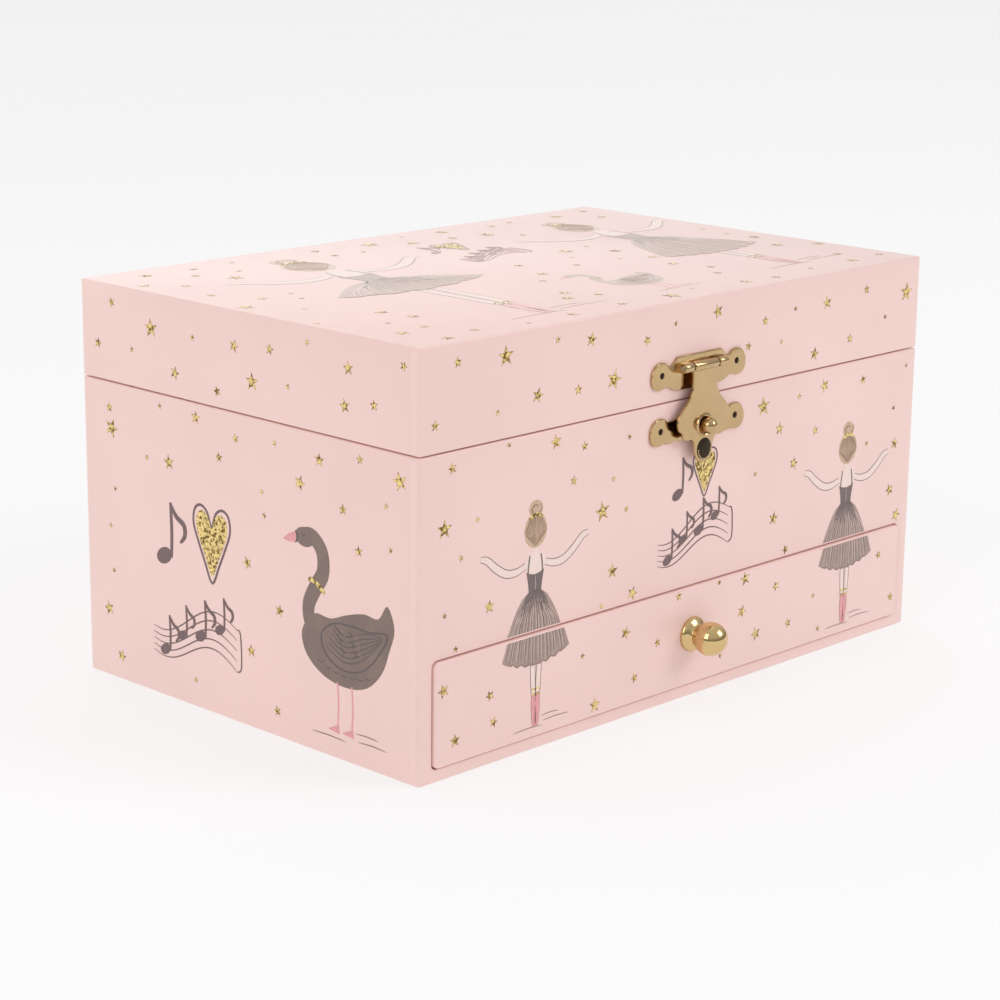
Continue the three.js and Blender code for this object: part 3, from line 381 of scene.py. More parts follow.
def rod(bm, axis, radius, start, end, centre, steps):
    """A round bar with eased ends along x or y; centre is its other two coordinates."""
    length = end - start
    ease = min(0.15, radius * 0.6, length * 0.3)
    near = [(0, 0), (radius - ease, 0), (radius - ease * 0.3, ease * 0.3), (radius, ease)]
    profile = near + [(r, length - h) for r, h in reversed(near)]
    place_at = {"x": (start, *centre), "y": (centre[0], start, centre[1])}[axis]
    lathe(bm, profile, place_at, axis, steps)


def eased(points, closed, steps):
    """Points along a smooth (Catmull-Rom) curve through the given ones."""
    count = len(points)
    made = []
    for i in range(count if closed else count - 1):
        picks = []
        for k in (-1, 0, 1, 2):
            at = (i + k) % count if closed else min(max(i + k, 0), count - 1)
            picks.append(Vector(points[at]).to_2d())
        p0, p1, p2, p3 = picks
        slope = p2 - p0
        curve = 2 * p0 - 5 * p1 + 4 * p2 - p3
        twist = 3 * p1 - p0 - 3 * p2 + p3
        for s in range(steps):
            t = s / steps
            made.append(0.5 * (2 * p1 + slope * t + curve * t * t + twist * t**3))
    if not closed:
        made.append(Vector(points[-1]).to_2d())
    return [(p.x, p.y) for p in made]


def cut_away(piece, cutter_bm):
    """Take a cutter's shape out of a piece, and apply it."""
    bmesh.ops.recalc_face_normals(cutter_bm, faces=cutter_bm.faces)
    bmesh.ops.scale(cutter_bm, vec=(MM, MM, MM), verts=cutter_bm.verts)
    mesh = bpy.data.meshes.new("cutter")
    cutter_bm.to_mesh(mesh)
    cutter_bm.free()
    tool = bpy.data.objects.new("cutter", mesh)
    bpy.context.scene.collection.objects.link(tool)
    step = piece.modifiers.new("cut", "BOOLEAN")
    step.object = tool
    step.operation = "DIFFERENCE"
    step.solver = "EXACT"
    apply_steps(piece)
    bpy.data.objects.remove(tool)


def apply_steps(piece):
    """Bake a piece's modifiers into its mesh."""
    graph = bpy.context.evaluated_depsgraph_get()
    graph.update()
    done = bpy.data.meshes.new_from_object(piece.evaluated_get(graph))
    piece.modifiers.clear()
    old = piece.data
    piece.data = done
    bpy.data.meshes.remove(old)


# ---- printing --------------------------------------------------------------------------------
# A print is drawn flat: a to the right, b up, and the height says which ink lies over which.
FACES = {
    "front": Matrix(((1, 0, 0), (0, 0, -1), (0, 1, 0))),
    "left": Matrix(((0, 0, -1), (-1, 0, 0), (0, 1, 0))),
    "right": Matrix(((0, 0, 1), (1, 0, 0), (0, 1, 0))),
    "back": Matrix(((-1, 0, 0), (0, 0, 1), (0, 1, 0))),
    "top": Matrix.Identity(3),
}
STAR_SIZES = (4.2, 3.0, 1.9, 4.2, 3.0, 5.6, 1.9, 4.2, 3.0, 1.9)
STAR_PITCH = (17.5, 13.0)
INK_UNDERSIDE = 0.008  # how far an ink's underside stands off the paper


def patch(sheet, points, colour, height):
    """A flat area of one ink."""
    verts = [sheet.verts.new((a, b, height)) for a, b in points]
    face = sheet.faces.new(verts)
    face.normal_update()
    if face.normal.z < 0:
        face.normal_flip()
    face.material_index = colour
    bmesh.ops.triangulate(sheet, faces=[face])


def stroke(sheet, points, width, colour, height, steps=6, taper=0.25, closed=False):
    """A drawn line: a ribbon through the points, thinner at its ends."""
    path = [Vector(p) for p in eased(points, closed, steps)]
    count = len(path)
    rails = []
    for i, at in enumerate(path):
        ahead = path[(i + 1) % count] if closed or i < count - 1 else at
        behind = path[i - 1] if closed or i > 0 else at
        along = (ahead - behind).normalized() if (ahead - behind).length else Vector((1, 0))
        share = 1.0 if closed else taper + (1 - taper) * math.sin(math.pi * i / (count - 1)) ** 0.6
        side = Vector((-along.y, along.x)) * width * share / 2
        rails.append([sheet.verts.new((*spot, height)) for spot in (at + side, at - side)])
    for (l0, r0), (l1, r1) in zip(rails, rails[1:] + rails[:1] if closed else rails[1:]):
        face = sheet.faces.new((r0, r1, l1, l0))
        face.material_index = colour


def oval(a, b, width, height):
    """Points round an upright oval."""
    turns = [TAU * k / 28 for k in range(28)]
    return [(a + width / 2 * math.cos(t), b + height / 2 * math.sin(t)) for t in turns]


def star(sheet, a, b, size, turn):
    """A foil star on a slightly larger, darker edge."""
    for grown, colour, height in ((0.15, EDGE, 0.03), (0.0, GOLD, 0.06)):
        points = []
        for i in range(10):
            radius = (size / 2 if i % 2 == 0 else size * 0.18) + (grown if size > 2.5 else grown * 0.5)
            angle = turn + math.pi / 2 + math.pi * i / 5
            points.append((a + radius * math.cos(angle), b + radius * math.sin(angle)))
        patch(sheet, points, colour, height)


def scatter(sheet, seed, low, high, keep_out=(), seams=()):
    """Stars in staggered rows, each shaken a little off its place, with sizes dealt in turn.
    None lies on a print (keep_out: middle and half size) or across a seam."""
    draw = random.Random(seed)
    columns = round((high[0] - low[0]) / STAR_PITCH[0])
    rows = round((high[1] - low[1]) / STAR_PITCH[1])
    across, up = (high[0] - low[0]) / columns, (high[1] - low[1]) / rows
    for row in range(rows):
        for column in range(columns):
            size = STAR_SIZES[(3 * row + column) % len(STAR_SIZES)] * draw.uniform(0.9, 1.1)
            turn = draw.uniform(-0.4, 0.4)
            stagger = 0.3 if row % 2 else 0.7
            a = low[0] + (column + stagger) * across + draw.uniform(-0.24, 0.24) * across
            b = low[1] + (row + 0.5) * up + draw.uniform(-0.28, 0.28) * up
            margin = size / 2 + 0.7
            for seam_level in seams:
                if abs(b - seam_level) < margin:
                    b = seam_level + math.copysign(margin, b - seam_level)
            a = min(max(a, low[0] + margin), high[0] - margin)
            b = min(max(b, low[1] + margin), high[1] - margin)
            if not any(abs(a - x) < w + margin and abs(b - y) < h + margin for x, y, w, h in keep_out):
                star(sheet, a, b, size, turn)


def heart(sheet, a, b, width, height):
    """A foil heart inside a loose drawn outline; a, b is its point."""
    half = [(0, 0), (0.20, 0.26), (0.38, 0.52), (0.5, 0.74), (0.46, 0.93), (0.30, 1.0), (0.12, 0.93)]
    half.append((0, 0.74))
    right = [(a + x * width, b + y * height) for x, y in half]
    left = [(a - x * width * 0.98, b + y * height) for x, y in half[1:-1]]
    outline = right + left[::-1]
    centre = Vector((a, b + height * 0.58))
    inner = [tuple(centre + (Vector(p) - centre) * 0.84) for p in outline]
    patch(sheet, eased(inner, True, 3), GOLD, 0.06)
    stroke(sheet, outline, width * 0.05, OUTLINE, 0.05, 4, closed=True)


def note(sheet, a, b, size, height=0.06):
    """A quaver: a tilted head, a stem and its flag; a, b is the middle of the head."""
    head = []
    for k in range(16):
        along, across = 0.21 * size * math.cos(k * TAU / 16), 0.14 * size * math.sin(k * TAU / 16)
        head.append((a + along * 0.9 - across * 0.42, b + along * 0.42 + across * 0.9))
    patch(sheet, head, OUTLINE, height)
    stem = a + 0.19 * size
    upright = [(0, 0), (0.02, 0.45), (0, 0.95)]
    flag = [(0, 0.93), (0.14, 0.74), (0.34, 0.62), (0.36, 0.44), (0.24, 0.30)]
    for points, width, over, taper in ((upright, 0.075, 0.01, 0.8), (flag, 0.10, 0.02, 0.3)):
        placed = [(stem + x * size, b + y * size) for x, y in points]
        stroke(sheet, placed, width * size, OUTLINE, height + over, taper=taper)


def stave(sheet, a, b, width, height):
    """A ribbon of music under the heart: flowing lines with a few notes on them."""
    def wave(share, line):
        rise = 0.20 * math.sin(2.6 * share + 0.4) + line * (0.115 + 0.03 * share)
        return (a + share * width / 2, b + rise * height)

    for k in range(5):
        points = [wave(t / 6, k - 2) for t in range(-6, 7)]
        stroke(sheet, points, 0.42, OUTLINE, 0.05 + 0.004 * k, 5, 0.2)
    end_low, end_high = wave(1.0, -2.0), wave(1.0, 2.0)
    curl = [end_high, (end_high[0] + 1.6, end_high[1] - 1.2), (end_low[0] + 1.9, end_low[1] + 1.8), end_low]
    stroke(sheet, curl, 0.5, OUTLINE, 0.075, 5, 0.5)
    beats = ((-0.72, -0.9, 0.52), (-0.30, 0.6, 0.46), (0.14, -0.6, 0.54), (0.60, 0.4, 0.48))
    for share, line, size in beats:
        note(sheet, *wave(share, line), size * height, 0.08)


class Pen:
    """Draws a figure in its own coordinates: a, b is its origin on the sheet, and scale its size."""

    def __init__(self, sheet, a, b, scale):
        self.sheet, self.a, self.b, self.scale = sheet, a, b, scale

    def at(self, points):
        return [(self.a + x * self.scale, self.b + y * self.scale) for x, y in points]

    def line(self, points, width, colour, height, **more):
        stroke(self.sheet, self.at(points), width * self.scale, colour, height, **more)

    def fill(self, points, colour, height):
        patch(self.sheet, self.at(points), colour, height)

    def ground(self, dashes, width):
        """Light lines under the feet: the ends of each and its height."""
        for x0, x1, y in dashes:
            self.line([(x0, y), ((x0 + x1) / 2, y + 0.25), (x1, y)], width, SHADOW, 0.05, taper=0.1)


def printed_dancer(sheet, a, b, seed, scale=1.0, reach=13.6, fall=18.4, dip=3.0):
    """A plain ballet figure from behind: arms open in second position, hair in one bun, on her toes.
    a, b is the toe; reach, fall and dip shape the skirt: half width, length, and sag of the hem."""
    draw = random.Random(seed)
    pen = Pen(sheet, a, b, scale)
    line, fill = pen.line, pen.fill
    waist = 39.6
    hem_ends = waist - fall

    def edged(points, width, rim, edge, colour, height, tapers):
        """A ribbon with a line at both sides: a wider one shows under a narrower one."""
        line(points, width + rim, edge, height, taper=tapers[0])
        line(points, width, colour, height + 0.012, taper=tapers[1])

    def hem(x):
        return hem_ends - dip * (1 - (x / reach) ** 2) + 0.4 * math.cos(x * 2.1)

    for side in (-1, 1):
        arm = [(3.0, 47.6), (7.0, 46.2), (11.4, 46.4), (15.6, 48.8), (19.0, 51.6), (21.6, 52.4)]
        leg = [(side * 1.5, hem_ends), (side * 1.15, 15.0), (side * 0.85, 8.6)]
        shoe = [(side * 0.9, 9.4), (side * 0.8, 5.4), (side * 0.45, 0.0)]
        edged([(side * x, y) for x, y in arm], 2.1, 0.5, OUTLINE, SKIN, 0.03, (0.55, 0.55))
        edged(leg, 1.7, 0.5, OUTLINE, SKIN, 0.02, (0.7, 0.7))
        edged(shoe, 1.75, 0.25, SHADOW, ROSE, 0.05, (0.5, 0.45))
        for low in (9.2, 10.6):
            ribbon = [(side * 0.05, low), (side * 0.9, low + 0.5), (side * 1.8, low)]
            line(ribbon, 0.5, GOLD, 0.075, taper=0.5)
    back = [(-4.3, 48.4), (-2.2, 49.8), (-1.0, 50.8), (-1.0, 53.2), (1.0, 53.2), (1.0, 50.8), (2.2, 49.8)]
    back += [(4.3, 48.4), (3.4, 45.0), (2.4, 42.4), (-2.4, 42.4), (-3.4, 45.0)]
    fill(back, SKIN, 0.05)

    fill(oval(0, 56.8, 9.0, 10.0), HAIR, 0.06)
    fill(oval(0, 63.0, 5.6, 4.8), HAIR, 0.07)
    for k in range(-8, 9):
        strand = [(0.26 * k, 52.4 + 0.03 * k * k), (0.52 * k, 56.6), (0.22 * k, 61.2)]
        colour = (SHADOW, EDGE, OUTLINE)[k % 3]
        line(strand, draw.uniform(0.14, 0.26), colour, 0.085 + 0.002 * (k % 4), taper=0.3)
    for k in range(5):
        wide = 1.1 + 0.3 * k
        turn = [(wide * math.cos(t + k), 63.0 + 0.85 * wide * math.sin(t + k)) for t in range(4)]
        line(turn, 0.2, (SHADOW, EDGE)[k % 2], 0.09 + 0.003 * k, taper=0.3)
    line([(-2.7, 60.5), (0, 61.3), (2.7, 60.5)], 1.15, GOLD, 0.11, taper=0.6)

    bodice = [(-3.5, 45.2), (-1.8, 44.5), (0, 44.2), (1.8, 44.5), (3.5, 45.2), (2.8, 42.0), (2.4, 38.9)]
    fill(bodice + [(-2.4, 38.9), (-2.8, 42.0)], BODICE, 0.08)
    for side in (-1, 1):
        line([(side * 2.9, 44.8), (side * 2.7, 47.2), (side * 2.2, 49.8)], 0.5, BODICE, 0.085, taper=0.8)
    line([(0, 44.0), (0.12, 41.6), (0, 39.2)], 0.2, PALE, 0.10)

    flank = [(2.2 + (reach - 2.2) * (k / 7) ** 0.72, waist - fall * (k / 7) ** 1.15) for k in range(8)]
    rim = [(reach * t / 16, hem(reach * t / 16)) for t in range(15, -16, -1)]
    fill(flank + rim + [(-x, y) for x, y in reversed(flank)], GREY, 0.07)
    pleats = 44
    for k in range(pleats):
        x = reach * (2 * (k + 0.5) / pleats - 1) + draw.uniform(-0.2, 0.2)
        begin = (0.17 * x, waist - draw.uniform(0.2, 3.0))
        half_way = (0.74 * x, waist - 0.46 * fall - 0.01 * x * x)
        end = (x * 0.98, hem(x) + draw.uniform(0.3, 1.2))
        colour = (PALE, SHADOW, GREY, PALE, BODICE)[k % 5]
        line([begin, half_way, end], draw.uniform(0.18, 0.4), colour, 0.09 + 0.003 * (k % 6), taper=0.15)
    for k in range(-7, 8):
        x = k / 7 * (0.42 * reach)
        gather = [(0.3 * x, waist), (0.7 * x, waist - 2.4), (x, waist - draw.uniform(5, 8))]
        line(gather, 0.42, BODICE, 0.112, taper=0.1)
    line([(x, y + 0.15) for x, y in rim[::2]], 0.36, SHADOW, 0.12, steps=3, taper=0.6)
    pen.ground(((2.4, 9.6, 2.4), (3.2, 14.0, 0.8), (-9.0, 3.0, -0.4)), 0.26)


def printed_swan(sheet, a, b, scale=1.0):
    """A plain swan: neck upright in an open curve, head level, wings folded, webbed feet.
    a, b is under its body."""
    pen = Pen(sheet, a, b, scale)
    line, fill = pen.line, pen.fill
    body = [(-14.0, 12.6), (-12.0, 6.0), (-5.0, 1.4), (4.0, 0.0), (12.4, 1.8), (18.4, 7.4), (21.4, 14.4)]
    body += [(23.4, 21.0), (20.6, 27.0), (17.0, 22.6), (11.4, 22.8), (4.4, 21.0), (-2.2, 18.6), (-9.0, 18.6)]
    fill(eased(body, True, 4), FEATHER, 0.04)
    neck = [(-5.0, 9.6), (-10.2, 14.6), (-11.2, 20.4), (-8.4, 26.0), (-5.2, 31.0), (-5.6, 37.0)]
    line(neck + [(-9.6, 40.6), (-14.0, 40.0)], 5.0, FEATHER, 0.046, taper=0.8)
    fill(oval(-12.6, 39.8, 8.0, 5.6), FEATHER, 0.052)
    fill([(-16.2, 40.8), (-19.2, 39.6), (-21.8, 37.6), (-18.6, 37.2), (-16.0, 37.6)], ROSE, 0.06)
    line([(-16.6, 41.0), (-15.6, 39.4), (-16.4, 37.4)], 0.7, PLUME, 0.075, steps=3)
    line([(-13.8, 40.8), (-13.0, 40.2), (-12.2, 40.8)], 0.5, PLUME, 0.075, steps=3)
    line([(-11.2, 28.2), (-8.0, 27.6), (-4.6, 25.2)], 1.3, GOLD, 0.08, taper=0.9)

    wing = [(-6.0, 13.4), (-4.0, 7.8), (2.6, 4.8), (10.4, 6.2), (16.4, 11.4), (20.6, 18.6), (13.2, 18.0)]
    line(wing + [(6.0, 18.2), (-1.0, 17.4)], 0.5, PLUME, 0.09, steps=5, closed=True)
    for k in range(6):
        rise = 1.5 * k
        feather = [(-3.6 + 0.5 * k, 10.0 + rise), (3.6, 7.2 + rise), (11.0, 9.6 + rise)]
        feather.append((18.6, 16.6 + 0.25 * k))
        line(feather, 0.4, PLUME, 0.07 + 0.003 * k)
    for row in range(3):
        for k in range(5):
            x, y = -2.6 + 2.5 * k + 0.9 * row, 15.4 - 2.6 * row
            scale_edge = [(x, y + 0.9), (x + 1.3, y + 0.4), (x + 1.2, y - 0.9)]
            line(scale_edge, 0.3, (SHADOW, PLUME)[k % 2], 0.092 + 0.004 * row, steps=4)
    for k in range(7):
        x = -7.6 + 3.2 * k
        y = 3.6 + 0.02 * (x - 3) ** 2
        line([(x, y), (x + 1.4, y - 0.8), (x + 2.8, y)], 0.26, PLUME, 0.07, steps=3)
    for x in (0.6, 6.4):
        line([(x, 0.8), (x + 0.4, -5.6), (x, -12.2)], 0.6, ROSE, 0.05, taper=0.9)
        fill([(x + 0.5, -11.6), (x - 4.0, -13.6), (x - 1.2, -14.0), (x + 0.8, -14.2)], ROSE, 0.06)
    pen.ground(((8.0, 17.0, -12.4), (9.0, 20.4, -14.6), (-10.0, 4.0, -15.8)), 0.34)


def lay_print(sheet, face, name, body, level, low=None, high=None):
    """Cut a copy of the print between two heights, give its inks thickness, and lay it on the box."""
    part = sheet.copy()
    for limit, outwards in ((low, False), (high, True)):
        if limit is not None:
            bmesh.ops.bisect_plane(
                part,
                geom=part.verts[:] + part.edges[:] + part.faces[:],
                dist=1e-4,
                plane_co=(0, limit, 0),
                plane_no=(0, 1, 0),
                clear_outer=outwards,
                clear_inner=not outwards,
            )
    raised = bmesh.ops.extrude_face_region(part, geom=part.faces[:])["geom"]
    for vert in of_kind(raised, bmesh.types.BMVert):
        vert.co.z = INK_UNDERSIDE
    bmesh.ops.recalc_face_normals(part, faces=part.faces)
    turn = FACES[face].to_4x4()
    bmesh.ops.transform(part, matrix=turn @ Matrix.Translation((0, 0, level)), verts=part.verts)
    inks = TOP_INKS_WITH_PAINTED_SHEEN if face == "top" else INKS
    return place(part, name, body, inks, crease=20, recalculated=False)


lid_bottom = corners("lid_shell")[0].z
half_width, half_depth, box_top = corners("lid_shell")[1]
case_low, case_high = corners("front_panel")
seam = case_high.z
front_y = case_low.y
inner_x = corners("right_side_panel")[0].x
inner_front = case_high.y
inner_back = corners("back_panel")[0].y
drawer_low, drawer_high = corners("drawer_front")
opening_low, opening_high = corners("base_panel")[1].z, drawer_high.z + 0.4
FRONT_TOES = (-65.3, 76.4)  # where the two dancers on the front stand, from the middle
TOP_TOES = ((-47, -59, 1.78, 17), (71, -54, 1.66, 13))  # place, scale and room of those on the lid


def print_box():
    """All the prints, each cut where the lid, the case and the drawer part."""
    side_reach = half_width - 1.5
    hasp_room = (HARDWARE_X, CATCH + 3.5, 22.5, 12.5)
    front = bmesh.new()
    ends = (drawer_high.x, (opening_low + opening_high) / 2, 0.2, (opening_high - opening_low) / 2)
    knob_room = (HARDWARE_X, middle("drawer_knob").z, 7.5, 7.5)
    room = [hasp_room, knob_room, ends, (-ends[0], *ends[1:]), (4, 58, 22, 19)]
    for toe in FRONT_TOES:
        room += [(toe, 60, 6, 14), (toe, 54, 22.5, 4.5), (toe, 29, 13, 16), (toe + 2, 8, 11, 9)]
    low, high = (-side_reach, 3.4), (side_reach, box_top - 1.5)
    scatter(front, 3, low, high, room, (seam, opening_high, opening_low))
    for toe, seed in zip(FRONT_TOES, (21, 22)):
        printed_dancer(front, toe, 7.2, seed)
    heart(front, 6.8, 61.0, 10.8, 14.2)
    note(front, -5.4, 63.4, 11.5)
    stave(front, 2.4, 49.6, 32, 19)
    lay_print(front, "front", "front_print_lid", "lid", -front_y, low=lid_bottom + 0.5)
    lay_print(front, "front", "front_print_case", "case", -front_y, low=opening_high + 0.6, high=seam - 0.5)
    lay_print(front, "front", "front_print_drawer", "drawer", -drawer_low.y,
              low=drawer_low.z + 0.5, high=drawer_high.z - 0.5)

    side = bmesh.new()
    room = [(-21, 39, 20, 27), (42, 30, 20, 24), (28, 54, 9, 12)]
    depth = half_depth - 4
    scatter(side, 4, (-depth, 3.4), (depth, box_top - 1.5), room, (seam,))
    heart(side, -13.6, 39.4, 16.4, 22.6)
    note(side, -35.4, 43.4, 17.5)
    stave(side, -22.0, 20.8, 38, 22)
    printed_swan(side, 39.2, 21.6)
    for face in ("left", "right"):
        lay_print(side, face, f"{face}_print_lid", "lid", half_width, low=lid_bottom + 0.5)
        lay_print(side, face, f"{face}_print_case", "case", half_width, low=1, high=seam - 0.5)

    back = bmesh.new()
    room = []
    for fitting in nodes:
        if fitting == "winding_key" or "movement_screw" in fitting or "hinge_pin" in fitting:
            at, half = middle(fitting), corners(fitting)[1] - middle(fitting)
            room.append((-at.x, at.z, half.x, half.z))
    scatter(back, 6, low, high, room, (seam,))
    lay_print(back, "back", "back_print_lid", "lid", half_depth, low=lid_bottom + 3.5)
    lay_print(back, "back", "back_print_case", "case", half_depth, low=1, high=seam - 3.5)

    top = bmesh.new()
    room = [(12, 30, 16, 18), (10, -36, 16, 18)]
    for toe, foot, scale, reach in TOP_TOES:
        for up, half, tall in ((58, 6, 10), (49, 22, 5), (30, reach, 12), (8, 9, 10)):
            room.append((toe, foot + up * scale, half * scale, tall * scale))
    scatter(top, 7, (-side_reach, 2 - half_depth), (side_reach, half_depth - 2), room)
    printed_dancer(top, *TOP_TOES[0][:2], 23, TOP_TOES[0][2], 16.6, 8.6, 3.4)
    printed_dancer(top, *TOP_TOES[1][:2], 24, TOP_TOES[1][2])
    heart(top, 12.4, 32.4, 10.4, 13.8)
    note(top, 0.4, 35.0, 11)
    stave(top, 10, 20.2, 27, 17)
    printed_swan(top, 7.4, -47.8, 0.62)
    lay_print(top, "top", "top_print", "lid", box_top)
    for sheet in (front, side, back, top):
        sheet.free()


# ---- the paper-covered case, lid and drawer --------------------------------------------------
def level_edges(bm, axis, level):
    """Edges that lie at one level along an axis."""
    return [e for e in bm.edges if all(abs(getattr(v.co, axis) - level) < TOUCH for v in e.verts)]


def sleeve(low, high, in_low, in_high, ceiling=None):
    """Four board walls between an outer and an inner box; a ceiling closes the top."""
    bm = bmesh.new()
    block(bm, low, high)
    inner_top = high[2] if ceiling is None else ceiling
    flat = [f for f in bm.faces if abs(f.normal.z) > 0.9 and (ceiling is None or f.normal.z < 0)]
    bmesh.ops.delete(bm, geom=flat, context="FACES_ONLY")
    made = bmesh.ops.duplicate(bm, geom=bm.faces[:] + bm.edges[:] + bm.verts[:])
    for vert in of_kind(made["geom"], bmesh.types.BMVert):
        at_low = vert.co.z < (low[2] + high[2]) / 2
        vert.co.x = in_low[0] if vert.co.x < 0 else in_high[0]
        vert.co.y = in_low[1] if vert.co.y < 0 else in_high[1]
        vert.co.z = low[2] if at_low else inner_top
    for face in of_kind(made["geom"], bmesh.types.BMFace):
        face.normal_flip()
        face.material_index = 1
    for level in (low[2], high[2]) if ceiling is None else (low[2],):
        rims = [e for e in level_edges(bm, "z", level) if e.is_boundary]
        bmesh.ops.bridge_loops(bm, edges=rims)
    bmesh.ops.recalc_face_normals(bm, faces=bm.faces)
    return bm


def outer_edges(bm, levels, skip_back=()):
    """Long outside edges: the uprights, and the edge rings at some levels."""
    chosen = []
    for edge in bm.edges:
        p, q = (v.co for v in edge.verts)
        on_x = all(abs(abs(v.x) - half_width) < TOUCH for v in (p, q))
        on_y = all(abs(abs(v.y) - half_depth) < TOUCH for v in (p, q))
        at_back = min(p.y, q.y) > half_depth - TOUCH
        if on_x and on_y and abs(p.z - q.z) > 1:
            chosen.append(edge)
        for level in levels:
            flat = abs(p.z - level) < TOUCH and abs(q.z - level) < TOUCH
            if flat and (on_x or on_y) and not (level in skip_back and at_back):
                chosen.append(edge)
    return chosen


def through_edges(bm):
    """Edges that run from the front to the back."""
    return [e for e in bm.edges if abs(e.verts[0].co.y - e.verts[1].co.y) > 1]


def cut_hinge_pockets(piece, up):
    """Room in the back wall's edge for each hinge leaf and its knuckle."""
    low, high = corners("left_hinge_lid_leaf")
    half = (high.x - low.x) / 2 + 0.2
    edge = lid_bottom if up > 0 else seam
    for name in ("left_hinge_pin", "right_hinge_pin"):
        pin = middle(name)
        spans = (
            (inner_back - 1, edge - up, edge + up * 1.0, 0.0),
            (half_depth - 1.8, pin.z - up * 1.3, pin.z + up * 1.8, 0.01),
        )
        for y, z0, z1, margin in spans:
            pocket = bmesh.new()
            reach = half + margin
            outside = half_depth + 1 + margin
            block(pocket, (pin.x - reach, y, min(z0, z1)), (pin.x + reach, outside, max(z0, z1)))
            cut_away(piece, pocket)


CORNER = 1.8  # radius of the drawer's and its opening's corners
EDGE_WIDTH = 0.45  # how wide the paper rounds a board's edge


def make_case():
    """Four walls in printed paper, with the drawer's opening and holes for the key and hinges."""
    bm = sleeve((-half_width, -half_depth, 0), (half_width, half_depth, seam),
                (-inner_x, inner_front), (inner_x, inner_back))
    soften(bm, outer_edges(bm, (0, seam), (seam,)), EDGE_WIDTH, 3)
    case = place(bm, "case_walls", "case", [pink_paper, lining_paper],
                 ("front_panel", "left_side_panel", "right_side_panel", "back_panel"))
    opening = bmesh.new()
    block(opening, (-inner_x, front_y - 2, opening_low), (inner_x, inner_front + 0.5, opening_high))
    soften(opening, through_edges(opening), CORNER, 5)
    cut_away(case, opening)
    bm = bmesh.new()
    bm.from_mesh(case.data)
    bmesh.ops.scale(bm, vec=(1 / MM, 1 / MM, 1 / MM), verts=bm.verts)
    rim = []
    for edge in level_edges(bm, "y", front_y):
        p, q = (v.co for v in edge.verts)
        at_height = min(p.z, q.z) > opening_low - 0.1 and max(p.z, q.z) < opening_high + 0.1
        inside = max(abs(p.x), abs(q.x)) < inner_x + 0.1
        if at_height and inside and edge.calc_face_angle(0) > 0.5:
            rim.append(edge)
    soften(bm, rim, 0.35, 2)
    bmesh.ops.scale(bm, vec=(MM, MM, MM), verts=bm.verts)
    bm.to_mesh(case.data)
    bm.free()
    holes = bmesh.new()
    rod(holes, "y", 3.0, half_depth - 8, half_depth + 3, (0, middle("winding_arbor").z), 32)
    cut_away(case, holes)
    cut_hinge_pockets(case, -1)
    crisp(case.data)


def make_lid():
    """A tray of board turned upside down, open below."""
    ceiling = corners("lid_mirror")[1].z
    bm = sleeve((-half_width, -half_depth, lid_bottom), (half_width, half_depth, box_top),
                (-inner_x, inner_front), (inner_x, inner_back), ceiling)
    soften(bm, outer_edges(bm, (lid_bottom, box_top), (lid_bottom,)), EDGE_WIDTH, 3)
    lid = place(bm, "lid_walls", "lid", [pink_paper, lining_paper], ("lid_shell",))
    cut_hinge_pockets(lid, 1)
    crisp(lid.data)


def make_paper_laps():
    """Where the front paper turns round the corner, its edge shows as a thin step on each side."""
    for side, word in ((-1, "left"), (1, "right")):
        x0, x1 = sorted((side * (half_width + 0.07), side * (half_width - 0.1)))
        for body, low, high in (("lid", lid_bottom + 0.8, box_top - 0.8), ("case", 0.8, seam - 0.8)):
            bm = eased_block((x0, 0.75 - half_depth, low), (x1, 3.4 - half_depth, high), 0.05, 1)
            place(bm, f"{word}_paper_lap_{body}", body, [pink_paper])


def make_drawer():
    """The drawer's front board, with round corners, and the velvet on its floor."""
    bm = bmesh.new()
    block(bm, drawer_low, drawer_high)
    soften(bm, through_edges(bm), CORNER, 6)
    soften(bm, level_edges(bm, "y", drawer_low.y), EDGE_WIDTH, 3)
    for face in bm.faces:
        if face.normal.y > 0.9:
            face.material_index = 1
    finishes = [pink_paper, lining_paper]
    board = place(bm, "drawer_face", "drawer", finishes, ("drawer_front",))
    hole = bmesh.new()
    screw = middle("knob_screw")
    rod(hole, "y", 1.8, drawer_low.y - 2, drawer_high.y + 2, (screw.x, screw.z), 24)
    cut_away(board, hole)
    crisp(board.data)
    low, high = corners("drawer_tray")
    pad_low = (low.x + 2.2, low.y + 0.3, low.z + 2.05)
    pad = eased_block(pad_low, (high.x - 2.2, high.y - 2.2, low.z + 3.0), 0.35, 2)
    place(pad, "drawer_floor_velvet", "drawer", [velvet_flat])


def make_compartment_floors():
    """Velvet laid on the shelf at both sides of the ring cushion."""
    low, high = corners("drawer_shelf")
    for side, name in ((-1, "left"), (1, "right")):
        near = min(abs(corner.x) for corner in corners(f"{name}_divider")) + 2.2
        x0, x1 = sorted((side * near, side * (high.x - 0.2)))
        bm = eased_block((x0, low.y + 0.2, high.z + 0.02), (x1, high.y - 0.2, high.z + 1.0), 0.4, 2)
        place(bm, f"{name}_compartment_velvet", "case", [velvet_flat])


# ---- the hasp and the knob -------------------------------------------------------------------
HARDWARE_X = middle("knob_screw").x
HASP_PIN = middle("hasp_pin").yz
CATCH = middle("hasp_case_plate").z
EAR = 16.7  # from the middle of a plate to the nail in its ear
PLATE = 0.75  # thickness of the sheet


